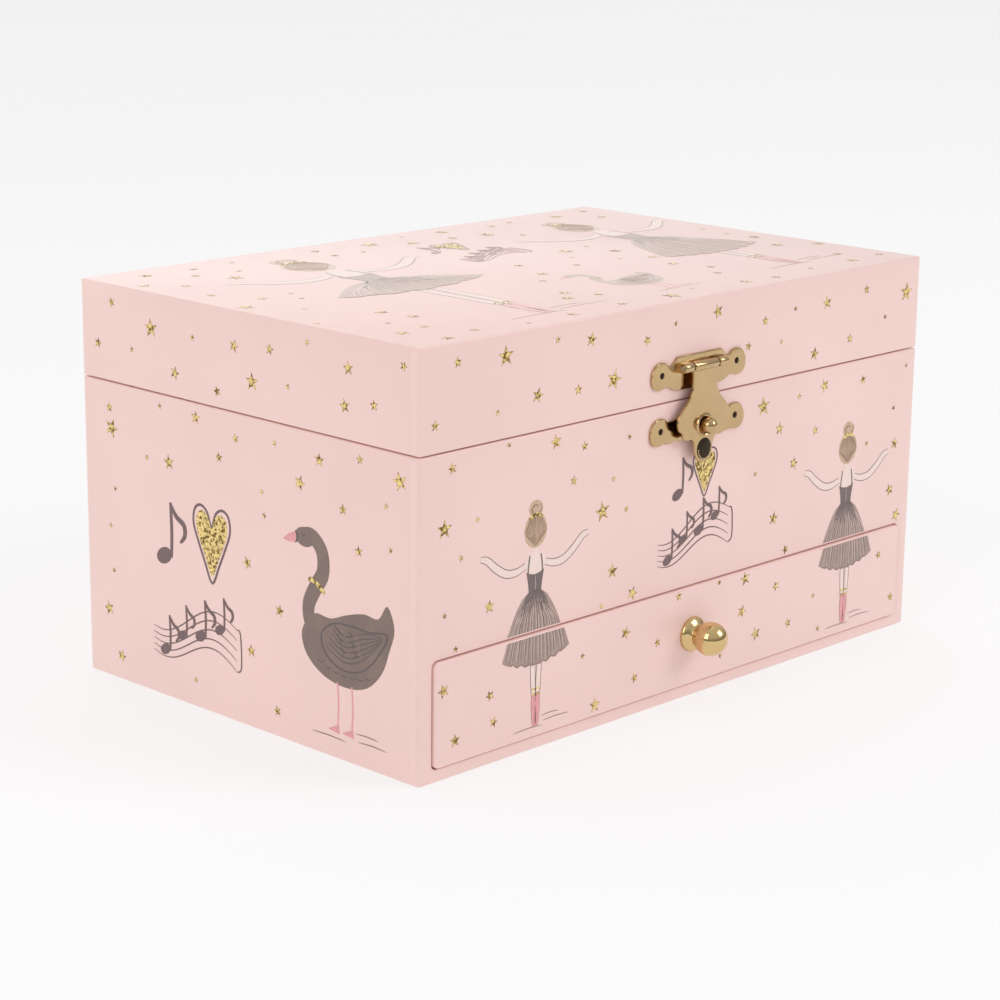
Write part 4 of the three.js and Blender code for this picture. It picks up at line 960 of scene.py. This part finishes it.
def ear_outline(top, bottom, ear, neck):
    """Half of an eared plate, from the top middle round the ear to the bottom middle."""
    return [
        (neck - 0.6, top), (neck + 0.4, top - 0.9), (neck + 1.7, ear + 2.5), (EAR - 2.9, ear + 2.5),
        (EAR - 2.0, ear + 3.4), (EAR, ear + 3.8), (EAR + 1.9, ear + 3.4), (EAR + 3.4, ear + 2.2),
        (EAR + 4.2, ear + 0.3), (EAR + 4.2, ear - 1.6), (EAR + 3.5, ear - 3.2), (EAR + 2.0, ear - 4.1),
        (EAR, ear - 4.2), (EAR - 2.2, ear - 3.7), (EAR - 3.7, ear - 4.2), (neck + 0.9, bottom + 0.3),
        (neck - 1.2, bottom),
    ]


def front_plate(bm, outline, y_front, edge):
    """An outline in x (from the hasp's middle) and z becomes a plate with a rounded front edge."""
    verts = [bm.verts.new((HARDWARE_X + x, y_front + PLATE, z)) for x, z in outline]
    face = bm.faces.new(verts)
    made = bmesh.ops.extrude_face_region(bm, geom=[face])["geom"]
    front = of_kind(made, bmesh.types.BMVert)
    bmesh.ops.translate(bm, vec=(0, -PLATE, 0), verts=front)
    chosen = set(front)
    bmesh.ops.recalc_face_normals(bm, faces=bm.faces)
    ring = [e for e in bm.edges if e.verts[0] in chosen and e.verts[1] in chosen]
    soften(bm, ring, edge, 3)


def eared_plate(top, bottom, ear, neck):
    """A nailed plate of the hasp: its top, bottom and nails' heights, and half its middle's width."""
    right = eased(ear_outline(top, bottom, ear, neck), False, 4)
    bm = bmesh.new()
    front_plate(bm, right + [(-x, z) for x, z in reversed(right)], front_y - 0.8, 0.26)
    for side in (-1, 1):
        site = (HARDWARE_X + side * EAR, front_y - 0.8, ear)
        # The nail's head and the disc under it are near-black gilt: painted shade of the nail hole.
        lathe(bm, [(0, -0.1), (0.95, -0.1), (0.98, 0.02), (0.85, 0.08), (0, 0.09)], site, "-y", 24, 1)
        lathe(bm, [(0, 0.0), (0.62, 0.0), (0.58, 0.2), (0.34, 0.34), (0, 0.38)], site, "-y", 20, 1)
    return bm


def ball_end(radius, neck, centre, steps):
    """Profile of a ball from its neck to its pole."""
    start = math.asin(neck / radius)
    angles = [start + (math.pi - start) * k / steps for k in range(steps)]
    points = [(radius * math.sin(angle), centre - radius * math.cos(angle)) for angle in angles]
    return points + [(0, centre + radius)]


def make_hasp():
    """Two nailed plates, a catch with a ball, and a bell-shaped flap on a rolled hinge."""
    y, z = HASP_PIN
    flap_front = corners("hasp_flap")[0].y + 0.9
    bm = eared_plate(seam + 13.3, seam + 3.4, z - 1.4, 10.4)
    lug = [(0, 0), (1.1, 0.06), (1.42, 0.35), (1.5, 0.75), (1.5, 3.05), (1.42, 3.45), (1.1, 3.74), (0, 3.8)]
    for start in (HARDWARE_X - 9.6, HARDWARE_X + 5.8):
        lathe(bm, lug, (start, y, z), "x", 28)
        block(bm, (start + 0.1, y, z - 1.45), (start + 3.7, front_y - 0.2, z + 1.45))
    place(bm, "hasp_upper_plate", "lid", [gilt, painted_dark_gilt], ("hasp_lid_plate",), 30)

    bm = eared_plate(CATCH + 3.8, CATCH - 4.2, CATCH, 9.0)
    post = [(0, -0.1), (1.2, -0.1), (1.2, 2.6), (1.25, 2.8)] + ball_end(2.4, 1.25, 5.0, 11)
    lathe(bm, post, (HARDWARE_X, front_y, CATCH), "-y", 32)
    place(bm, "hasp_catch_plate", "case", [gilt, painted_dark_gilt], ("hasp_case_plate",), 30)

    bell = [(5.2, 13.2), (5.5, 10.6), (6.9, 8.2), (9.0, 6.1), (11.0, 3.9), (11.7, 1.7), (11.0, -0.4)]
    bell += [(9.5, -1.5), (8.9, -3.1), (7.2, -3.9), (5.6, -3.7), (4.4, -4.8), (3.9, -6.2), (3.75, -8.0)]
    bell += [(2.9, -10.0), (1.5, -10.95)]
    right = eased([(5.2, z - 1.0)] + [(x, CATCH + h) for x, h in bell], False, 4)
    bm = bmesh.new()
    front_plate(bm, right + [(0, CATCH - 11.1)] + [(-x, h) for x, h in reversed(right)], flap_front, 0.3)
    flap = place(bm, "hasp_bell_flap", "hasp", [gilt, painted_dark_gilt], ("hasp_flap",), 30)
    hole = bmesh.new()
    rod(hole, "y", 2.65, flap_front - 2, flap_front + 3, (HARDWARE_X, CATCH), 36)
    cut_away(flap, hole)
    crisp(flap.data, 30)
    bm = bmesh.new()
    end = [(0, 0), (1.15, 0.05), (1.42, 0.25), (1.5, 0.6)]
    roll = end + [(r, 10.4 - h) for r, h in reversed(end)]
    lathe(bm, roll, (HARDWARE_X - 5.2, y, z), "x", 32)
    block(bm, (HARDWARE_X - 5.1, y - 0.35, z - 2.2), (HARDWARE_X + 5.1, y + 0.4, z))
    place(bm, "hasp_flap_roll", "hasp", [gilt], (), 30)

    bm = bmesh.new()
    ring = [(2.75, -0.05), (2.8, 0.25), (3.1, 0.42), (3.45, 0.3), (3.6, -0.05), (3.1, -0.1)]
    lathe(bm, ring, (HARDWARE_X, flap_front, CATCH), "-y", 40, loop=True)
    lip = (HARDWARE_X, flap_front - 0.05, CATCH - 7.4)
    for k in range(13):
        angle = math.pi + math.pi * k / 12
        site = (lip[0] + 2.75 * math.cos(angle), lip[1] - 0.18, lip[2] + 2.75 * math.sin(angle))
        ball(bm, 0.3, site, 0, (1, 0.7, 1), (8, 6))
    # A flattened near-black gilt disc in the thumb lip: a painted dark reflection.
    ball(bm, 3.3, (lip[0], lip[1] + 0.12, lip[2] + 0.25), 1, (1, 0.12, 1.02), (32, 14))
    place(bm, "hasp_flap_beading", "hasp", [gilt, painted_dark_gilt], (), 40)


def make_knob():
    """Flange, neck and ball, turned in one piece."""
    ball_radius = 5.15
    centre = drawer_low.y - corners("drawer_knob")[0].y - ball_radius
    profile = [(0, 0), (5.3, 0), (5.4, 0.35), (5.35, 0.8), (5.05, 1.3), (4.4, 1.8), (3.7, 2.2), (3.3, 2.6)]
    profile += [(3.2, 2.9)] + ball_end(ball_radius, 3.35, centre, 17)
    bm = bmesh.new()
    lathe(bm, profile, (HARDWARE_X, drawer_low.y, middle("knob_screw").z), "-y", 56)
    place(bm, "drawer_knob_turned", "drawer", [knob_gilt], ("drawer_knob",), 45)


# ---- the inside of the box -------------------------------------------------------------------
def make_mirror():
    """Glass with a bevelled edge, in a gold paper frame."""
    low, high = corners("lid_mirror")
    bm = bmesh.new()
    block(bm, low, high)
    face = next(f for f in bm.faces if f.normal.z < -0.9)
    bmesh.ops.inset_region(bm, faces=[face], thickness=0.01)
    lowest = [v for v in bm.verts if v.co.z < low.z + TOUCH]
    ring = [v for v in lowest if abs(v.co.x) > high.x - 0.005 or abs(v.co.y) > high.y - 0.005]
    bmesh.ops.translate(bm, vec=(0, 0, 0.9), verts=ring)
    for vert in [v for v in lowest if v.co.z < low.z + TOUCH]:
        vert.co.x -= math.copysign(4.0, vert.co.x)
        vert.co.y -= math.copysign(4.0, vert.co.y)
    place(bm, "bevelled_mirror", "lid", [mirror_glass], ("lid_mirror",), 3)
    trim = bmesh.new()
    wide, gap = 2.2, 0.1
    for x0, y0, x1, y1 in (
        (low.x - wide, low.y - wide, high.x + wide, low.y - gap),
        (low.x - wide, high.y + gap, high.x + wide, high.y + wide),
        (low.x - wide, low.y - gap, low.x - gap, high.y + gap),
        (high.x + gap, low.y - gap, high.x + wide, high.y + gap),
    ):
        block(trim, (x0, y0, high.z - 1.3), (x1, y1, high.z + 0.02))
    place(trim, "mirror_paper_frame", "lid", [gold_foil], (), 30)


CLOTH_STEPS = 20


def relaxed(piece, cap, voxel):
    """Swell the piece as cloth round its stuffing, no further than the cap."""
    remesh = piece.modifiers.new("even", "REMESH")
    remesh.mode = "VOXEL"
    remesh.voxel_size = voxel * MM
    apply_steps(piece)
    start = [v.co.copy() for v in piece.data.vertices]
    cloth = piece.modifiers.new("stuffing", "CLOTH")
    settings = cloth.settings
    settings.quality = 6
    settings.mass = 0.2
    settings.use_pressure = True
    settings.uniform_pressure_force = 4
    settings.effector_weights.gravity = 0
    settings.tension_stiffness = 12
    settings.bending_stiffness = 0.4
    settings.shrink_min = -0.04
    cloth.collision_settings.use_collision = False
    scene = bpy.context.scene
    for step in range(1, CLOTH_STEPS + 1):
        scene.frame_set(step)
    apply_steps(piece)
    scene.frame_set(1)
    limit = cap * MM
    for vert, begin in zip(piece.data.vertices, start):
        moved = vert.co - begin
        if moved.length > limit:
            vert.co = begin + moved.normalized() * limit


def crumple(piece, size, depth, seed):
    """Shallow creases along the normals, finer than the stuffing makes."""
    offset = Vector((seed * 3.1, seed * 1.7, seed * 0.9))
    for vert in piece.data.vertices:
        wave = noise.noise(vert.co / (size * MM) + offset) * depth
        wave += noise.noise(vert.co / (size * 0.4 * MM) - offset) * depth * 0.35
        vert.co += vert.normal * wave * MM


def kept_within(piece, low, high):
    """Hold a piece's points between two corners."""
    for vert in piece.data.vertices:
        for axis in range(3):
            vert.co[axis] = min(max(vert.co[axis], low[axis] * MM), high[axis] * MM)


def make_ring_cushion():
    """A padded base and three padded rolls, in velvet."""
    low, high = corners("ring_cushion_base")
    bm = bmesh.new()
    block(bm, (low.x + 1.2, low.y + 1.2, low.z + 0.02), (high.x - 1.2, high.y - 1.2, high.z - 1.0))
    bmesh.ops.subdivide_edges(bm, edges=bm.edges[:], cuts=14, use_grid_fill=True)
    base = place(bm, "ring_cushion_pad", "case", [velvet], ("ring_cushion_base",))
    relaxed(base, 1.0, 3.0)
    crumple(base, 14, 0.35, 4)
    kept_within(base, low + Vector((0.1, 0.1, 0.02)), high + Vector((-0.1, -0.1, 0.15)))
    smooth_piece(base)
    for number in (1, 2, 3):
        low, high = corners(f"ring_roll_{number}")
        centre = (low + high) / 2
        radius = (high.z - low.z) / 2 - 0.9
        length = high.x - low.x
        end = [(0, 1.2), (radius * 0.35, 0.5), (radius * 0.8, 0.7), (radius, 2.6)]
        profile = end + [(radius, length * t) for t in (0.2, 0.35, 0.5, 0.65, 0.8)]
        profile += [(r, length - h) for r, h in reversed(end)]
        bm = bmesh.new()
        lathe(bm, profile, (low.x, centre.y, centre.z), "x", 48)
        name = f"ring_roll_velvet_{number}"
        roll = place(bm, name, "case", [velvet], (f"ring_roll_{number}",))
        relaxed(roll, 0.9, 1.6)
        crumple(roll, 7, 0.4, number)
        for vert in roll.data.vertices:
            vert.co.x = min(max(vert.co.x, (low.x + 0.1) * MM), (high.x - 0.1) * MM)
        smooth_piece(roll)


def smooth_piece(piece):
    """One even subdivision, applied."""
    piece.data.shade_smooth()
    step = piece.modifiers.new("smooth", "SUBSURF")
    step.levels = 1
    step.render_levels = 1
    apply_steps(piece)


def make_stage():
    """A gold rod and beads along the front edge of the stage's deck."""
    low, high = corners("stage_deck")
    bm = bmesh.new()
    bead_y = low.y - 0.1
    rod(bm, "x", 0.55, low.x + 0.2, high.x - 0.2, (bead_y, high.z - 0.2), 12)
    beads = 46
    for k in range(beads):
        x = low.x + 1.2 + k * (high.x - low.x - 2.4) / (beads - 1)
        ball(bm, 0.72, (x, bead_y - 0.1, high.z - 0.35), 0, (1, 0.9, 1), (8, 6))
    place(bm, "stage_bead_trim", "case", [gold_foil], ())


# ---- the dancer ------------------------------------------------------------------------------
def tube_through(bm, points, radii, sides):
    """A round limb or cord along a path of [x, y, z] points, with a radius at each."""
    rings = []
    count = len(points)
    for i, point in enumerate(points):
        ahead = Vector(points[min(i + 1, count - 1)])
        behind = Vector(points[max(i - 1, 0)])
        along = (ahead - behind).normalized()
        capped = i in (0, count - 1)
        ring = bmesh.ops.create_circle(bm, cap_ends=capped, radius=radii[i], segments=sides)["verts"]
        turn = Vector((0, 0, 1)).rotation_difference(along).to_matrix().to_4x4()
        bmesh.ops.transform(bm, matrix=Matrix.Translation(point) @ turn, verts=ring)
        rings.append(ring)
    for near, far in zip(rings, rings[1:]):
        pair = [e for ring in (near, far) for v in ring for e in v.link_edges if e.other_vert(v) in ring]
        bmesh.ops.bridge_loops(bm, edges=list(dict.fromkeys(pair)))


DOLL_HEIGHT = 43.9  # the dancer is drawn this tall, and then scaled to her CAD node
TUTU_RADIUS = 12.7


def make_dancer():
    """A plain small dancer on her toes, arms overhead, in a net tutu."""
    toe = corners("dancer_plinth")[1].z
    axis_y = middle("dancer_plinth").y
    tall = (corners("dancer_figure")[1].z - toe) / DOLL_HEIGHT
    girth = corners("dancer_tutu")[1].x / (TUTU_RADIUS + 0.1)

    def stood(bm):
        bmesh.ops.scale(bm, vec=(girth, girth, tall), verts=bm.verts)
        bmesh.ops.translate(bm, vec=(0, axis_y, toe + 0.02), verts=bm.verts)
        return bm

    bm = bmesh.new()
    for side in (-1, 1):
        leg = [(0, 0), (0.42, 0.1), (0.62, 1.4), (0.7, 3), (0.8, 4.4), (1.15, 8), (1.25, 9.6), (0.95, 12.6)]
        leg += [(1.25, 15), (1.75, 19), (1.9, 22), (0, 22.4)]
        lathe(bm, leg, (side * 1.05, 0, 0), "z", 20)
    torso = [(0, 20), (2.4, 20.2), (3.0, 22.2), (3.0, 24), (2.1, 26.4), (2.2, 27.6), (2.6, 29.2)]
    torso += [(2.5, 30.4), (1.9, 31.3), (1.0, 31.9), (0.82, 32.6), (0.85, 34.4), (0, 34.6)]
    made = lathe(bm, torso, (0, 0, 0), "z", 32)
    bmesh.ops.scale(bm, vec=(1, 0.8, 1), verts=made)
    ball(bm, 2.45, (0, 0, 36.4), 0, (0.88, 0.95, 1.12), (28, 20))
    ball(bm, 0.95, (0, -1.2, 34.9), 0, (1, 0.9, 0.8), (16, 12))
    for side in (-1, 1):
        arm = [(1.7, 30.4), (3.4, 31.2), (5.0, 32.8), (6.0, 35.2), (6.0, 37.8), (5.0, 40.2), (3.2, 42.0)]
        arm = eased(arm + [(1.4, 43.1)], False, 3)
        radii = [0.66 - 0.28 * i / (len(arm) - 1) for i in range(len(arm))]
        tube_through(bm, [(side * x, -0.3, z) for x, z in arm], radii, 10)
        ball(bm, 0.48, (side * 1.2, -0.3, 43.2), 0, (1.5, 0.7, 0.6), (10, 8))
    stood(bm)
    body = place(bm, "dancer_body", "cylinder", [doll_skin], ("dancer_figure",))
    even = body.modifiers.new("blend", "REMESH")
    even.mode = "VOXEL"
    even.voxel_size = 0.26 * MM
    soft = body.modifiers.new("soft", "SMOOTH")
    soft.iterations = 3
    soft.factor = 0.5
    apply_steps(body)
    body.data.materials.clear()
    body.data.materials.append(doll_skin)
    body.data.shade_smooth()

    bm = bmesh.new()
    bodice = [(0, 21.8), (2.7, 21.9), (3.2, 22.6), (3.15, 24.2), (2.3, 26.4), (2.4, 27.6), (2.8, 29.2)]
    bodice += [(2.62, 30.1), (2.4, 30.0), (0, 29.8)]
    made = lathe(bm, bodice, (0, 0, 0), "z", 36)
    bmesh.ops.scale(bm, vec=(1.02, 0.84, 1), verts=made)
    for side in (-1, 1):
        shoe = [(0, 0), (0.55, 0.05), (0.74, 1.4), (0.82, 2.8), (0.86, 3.6), (0, 3.7)]
        lathe(bm, shoe, (side * 1.05, 0, 0), "z", 18)
        strap = [(1.9, -1.7, 29.6), (1.75, -1.3, 31.0), (1.5, 0.1, 31.75), (1.7, 1.4, 30.8)]
        strap.append((1.8, 1.75, 29.6))
        tube_through(bm, [(side * x, y, z) for x, y, z in strap], [0.22] * 5, 8)
    place(stood(bm), "dancer_bodice_and_shoes", "cylinder", [doll_satin], (), 50)

    bm = bmesh.new()
    ball(bm, 2.55, (0, 0.22, 36.75), 0, (0.93, 0.98, 1.08), (28, 20))
    bmesh.ops.bisect_plane(
        bm, geom=bm.verts[:] + bm.edges[:] + bm.faces[:], dist=1e-4,
        plane_co=(0, -1.15, 37.1), plane_no=(0, -0.82, -0.57), clear_outer=True,
    )
    bmesh.ops.holes_fill(bm, edges=[e for e in bm.edges if e.is_boundary])
    ball(bm, 1.42, (0, 1.0, 39.3), 0, (1, 1, 0.92), (24, 16))
    for k in range(9):
        coil = []
        for t in range(5):
            angle = TAU * k / 9 + t * 0.5
            coil.append((1.25 * math.cos(angle), 1.0 + 1.25 * math.sin(angle), 38.6 + 0.38 * t))
        tube_through(bm, coil, [0.24] * 5, 6)
    place(stood(bm), "dancer_hair", "cylinder", [doll_hair], (), 40)

    bm = bmesh.new()
    for side in (-1, 1):
        ball(bm, 0.26, (side * 0.86, -2.02, 36.7), 0, (1.25, 0.5, 0.75), (10, 8))
        brow = [(side * 0.5, -2.12, 37.25), (side * 0.9, -2.02, 37.4), (side * 1.25, -1.8, 37.25)]
        tube_through(bm, brow, [0.08] * 3, 6)
    ball(bm, 0.3, (0, -2.08, 35.25), 1, (1.3, 0.5, 0.5), (10, 8))
    place(stood(bm), "dancer_painted_face", "cylinder", [doll_dark, doll_satin], (), 40)

    bm = bmesh.new()
    for layer in range(4):
        inner, outer = 2.3, TUTU_RADIUS - 1.1 * layer
        base, drop = 24.3 - 0.42 * layer, 1.7 - 0.25 * layer
        ruffles = 18 + 3 * layer
        rings = []
        for step in range(7):
            share = step / 6
            radius = inner + (outer - inner) * share
            ring = bmesh.ops.create_circle(bm, radius=radius, segments=144)["verts"]
            for vert in ring:
                angle = math.atan2(vert.co.y, vert.co.x)
                wave = 0.42 * share**1.4 * math.sin(ruffles * angle + layer)
                wave += 0.16 * share * math.sin(7 * angle + 2 * layer)
                vert.co.z = base - drop * share**1.5 + wave
            rings.append(ring)
        for near, far in zip(rings, rings[1:]):
            both = set(near) | set(far)
            loose = [e for e in bm.edges if e.is_boundary or e.is_wire]
            bmesh.ops.bridge_loops(bm, edges=[e for e in loose if both.issuperset(e.verts)])
    stood(bm)
    bmesh.ops.recalc_face_normals(bm, faces=bm.faces)
    net_area = sum(face.calc_area() for face in bm.faces) * MM * MM
    bmesh.ops.solidify(bm, geom=bm.faces[:], thickness=0.07)
    tutu = place(bm, "dancer_tutu_net", "cylinder", [net], ("dancer_tutu",), 60)


# ---- fittings at the back, and the clockwork -------------------------------------------------
def make_key():
    """The winding key: a hollow hub, and a bow of two rings joined by a web."""
    low, high = corners("winding_key")
    axis_z = middle("winding_key").z
    bow_y = high.y - 6.2
    bm = bmesh.new()
    hub = [(0, 9.4), (1.7, 9.3), (1.7, 0.0), (2.8, 0.0), (3.0, 0.25), (3.0, 3.2), (2.7, 3.7), (2.7, 4.4)]
    lathe(bm, hub + [(3.0, 4.8), (3.0, 9.6), (2.6, 10.3), (0, 10.6)], (0, low.y, axis_z), "y", 36)
    half = [(3.1, -0.5), (3.35, -0.82), (4.0, -0.9), (5.4, -0.9), (5.95, -0.75), (6.2, -0.4)]
    ring = half + [(r, -h) for r, h in reversed(half)]
    for side in (-1, 1):
        lathe(bm, ring, (side * 7.6, bow_y, axis_z), "z", 40, loop=True)
    web = bmesh.new()
    block(web, (-3.4, bow_y - 2.6, axis_z - 0.8), (3.4, bow_y + 2.6, axis_z + 0.8))
    soften(web, web.edges[:], 0.35, 2)
    mesh = bpy.data.meshes.new("web")
    web.to_mesh(mesh)
    web.free()
    bm.from_mesh(mesh)
    bpy.data.meshes.remove(mesh)
    place(bm, "winding_key_cast", "key", [gilt], ("winding_key",), 40)


CAD_FINISHES = (
    (lining_paper, "base_panel drawer_bay_wall drawer_shelf left_divider right_divider"),
    (lining_paper, "stage_housing drawer_tray stop_press_block"),
    (steel, "knob_screw hasp_pin winding_arbor cylinder_arbor idler_arbor governor_worm stop_rod"),
    (velvet_flat, "stage_deck"),
    (gilt, "dancer_plinth"),
    (comb_steel, "music_comb"),
    (blue_steel, "mainspring"),
    (white_plastic, "air_brake"),
)


def finish_frame():
    """Every CAD piece that still shows takes its own finish."""
    chosen = {name: finish for finish, names in CAD_FINISHES for name in names.split()}
    by_word = (("hinge_pin", steel), ("hinge", gilt), ("screw", steel))
    for name, piece in nodes.items():
        finish = chosen.get(name) or next((made for word, made in by_word if word in name), brass)
        slots = piece.data.materials
        for index in range(len(slots)):
            slots[index] = finish
        if not slots:
            slots.append(finish)


def make_cylinder_pins():
    """The tune: rows of short steel pins on the music cylinder, under the comb's teeth."""
    surface = corners("music_cylinder")[1].x
    comb_low, comb_high = corners("music_comb")
    axis = Matrix.Translation((0, middle("music_cylinder").y, 0))
    lying = Matrix.Rotation(math.pi / 2, 4, "Y")
    draw = random.Random(11)
    bm = bmesh.new()
    rows = 18
    for row in range(rows):
        z = comb_low.z + (row + 0.5) * (comb_high.z - comb_low.z) / rows
        for k in range(16):
            angle = TAU * (k + draw.uniform(0.05, 0.75)) / 16
            if abs(math.sin(angle / 2)) < 0.12:
                continue
            pin = {"segments": 6, "radius1": 0.14, "radius2": 0.1, "depth": 0.75}
            made = bmesh.ops.create_cone(bm, cap_ends=True, **pin)["verts"]
            outwards = Matrix.Translation((surface + 0.2, 0, z))
            turn = axis @ Matrix.Rotation(angle, 4, "Z") @ outwards @ lying
            bmesh.ops.transform(bm, matrix=turn, verts=made)
    place(bm, "cylinder_pins", "cylinder", [steel], (), 40)


# ---- the studio ------------------------------------------------------------------------------
def make_studio():
    """A pale floor, a soft room and three softboxes."""
    scene = bpy.context.scene
    bm = bmesh.new()
    bmesh.ops.create_circle(bm, cap_ends=True, radius=9.0, segments=64)
    mesh = bpy.data.meshes.new("studio_floor")
    bm.to_mesh(mesh)
    bm.free()
    floor = bpy.data.objects.new("studio_floor", mesh)
    floor.location.z = -0.0002
    scene.collection.objects.link(floor)
    white = Finish("floor_white", Roughness=0.9, Specular_IOR_Level=0.0)
    white.shader.inputs["Emission Color"].default_value = (1, 1, 1, 1)
    white.shader.inputs["Emission Strength"].default_value = 0.62
    white.colour(white.grain(1.5, 2), [(0.3, (0.36, 0.36, 0.36)), (0.7, (0.37, 0.37, 0.37))])
    mesh.materials.append(white.material)

    world = bpy.data.worlds.new("soft_room")
    scene.world = world
    world.use_nodes = True
    tree = world.node_tree
    background = tree.nodes["Background"]
    place_in = tree.nodes.new("ShaderNodeTexCoord")
    split = tree.nodes.new("ShaderNodeSeparateXYZ")
    ramp = tree.nodes.new("ShaderNodeValToRGB")
    stops = ((0.0, 0.9), (0.02, 0.32), (0.16, 0.5), (0.4, 0.86), (1.0, 1.0))
    while len(ramp.color_ramp.elements) < len(stops):
        ramp.color_ramp.elements.new(0.5)
    for element, (position, value) in zip(ramp.color_ramp.elements, stops):
        element.position = position
        element.color = (value, value, value, 1)
    plain = tree.nodes.new("ShaderNodeBackground")
    plain.inputs["Color"].default_value = (0.96, 0.96, 0.96, 1)
    ray = tree.nodes.new("ShaderNodeLightPath")
    mix = tree.nodes.new("ShaderNodeMixShader")
    behind = tree.nodes.new("ShaderNodeVectorMath")
    behind.operation = "DOT_PRODUCT"
    behind.inputs[1].default_value = (0.21, 0.98, 0.0)
    towards = tree.nodes.new("ShaderNodeMapRange")
    towards.interpolation_type = "SMOOTHSTEP"
    towards.inputs["From Min"].default_value = 0.45
    towards.inputs["From Max"].default_value = 0.95
    glow = tree.nodes.new("ShaderNodeMix")
    glow.data_type = "RGBA"
    glow.inputs[7].default_value = (1.9, 1.87, 1.84, 1)
    surface = tree.nodes["World Output"].inputs["Surface"]
    for source, target in (
        (place_in.outputs["Generated"], split.inputs["Vector"]),
        (place_in.outputs["Generated"], behind.inputs[0]),
        (behind.outputs["Value"], towards.inputs["Value"]),
        (towards.outputs["Result"], glow.inputs[0]),
        (split.outputs["Z"], ramp.inputs["Fac"]),
        (ramp.outputs["Color"], glow.inputs[6]),
        (glow.outputs[2], background.inputs["Color"]),
        (ray.outputs["Is Camera Ray"], mix.inputs["Fac"]),
        (background.outputs["Background"], mix.inputs[1]),
        (plain.outputs["Background"], mix.inputs[2]),
        (mix.outputs["Shader"], surface),
    ):
        tree.links.new(source, target)
    background.inputs["Strength"].default_value = 0.72

    box_middle = Vector((0, 0, 0.06))

    def softbox(name, place_at, size, power):
        data = bpy.data.lights.new(name, "AREA")
        data.shape = "RECTANGLE"
        data.size, data.size_y = size
        data.energy = power
        lamp = bpy.data.objects.new(name, data)
        lamp.location = place_at
        lamp.rotation_euler = (box_middle - lamp.location).to_track_quat("-Z", "Y").to_euler()
        scene.collection.objects.link(lamp)

    softbox("key_softbox", (0.9, -1.3, 1.1), (0.9, 0.9), 8.5)
    softbox("side_softbox", (-1.5, -0.2, 0.9), (0.8, 1.0), 5.5)
    softbox("top_softbox", (0.2, 0.4, 1.6), (1.2, 1.2), 1.0)
    scene.view_settings.view_transform = "Standard"
    scene.view_settings.look = "None"


CAMERA_PLACE = (-0.5788, -0.5563, 0.2565)
CAMERA_ANGLES = (45.867, -14.614, 0.677)  # azimuth, elevation and roll, in degrees
CAMERA_LENS = 95.47


def make_camera():
    """A long lens, a little above the box, towards its left front corner."""
    azimuth, elevation, roll = (math.radians(a) for a in CAMERA_ANGLES)
    level = Vector((math.cos(azimuth), -math.sin(azimuth), 0))
    ahead = Vector((math.sin(azimuth), math.cos(azimuth), 0))
    forward = ahead * math.cos(elevation) + Vector((0, 0, math.sin(elevation)))
    upright = level.cross(forward)
    right = level * math.cos(roll) + upright * math.sin(roll)
    up = upright * math.cos(roll) - level * math.sin(roll)
    data = bpy.data.cameras.new("studio_camera")
    data.sensor_fit = "HORIZONTAL"
    data.sensor_width = 36
    data.lens = CAMERA_LENS
    data.clip_start = 0.02
    data.clip_end = 60
    camera = bpy.data.objects.new("studio_camera", data)
    turn = Matrix((right, up, -forward)).transposed().to_4x4()
    camera.matrix_world = Matrix.Translation(CAMERA_PLACE) @ turn
    bpy.context.scene.collection.objects.link(camera)
    bpy.context.scene.camera = camera


make_camera()
make_studio()
finish_frame()
make_case()
make_lid()
make_paper_laps()
make_drawer()
make_compartment_floors()
print_box()
make_hasp()
make_knob()
make_mirror()
make_ring_cushion()
make_stage()
make_dancer()
make_key()
make_cylinder_pins()
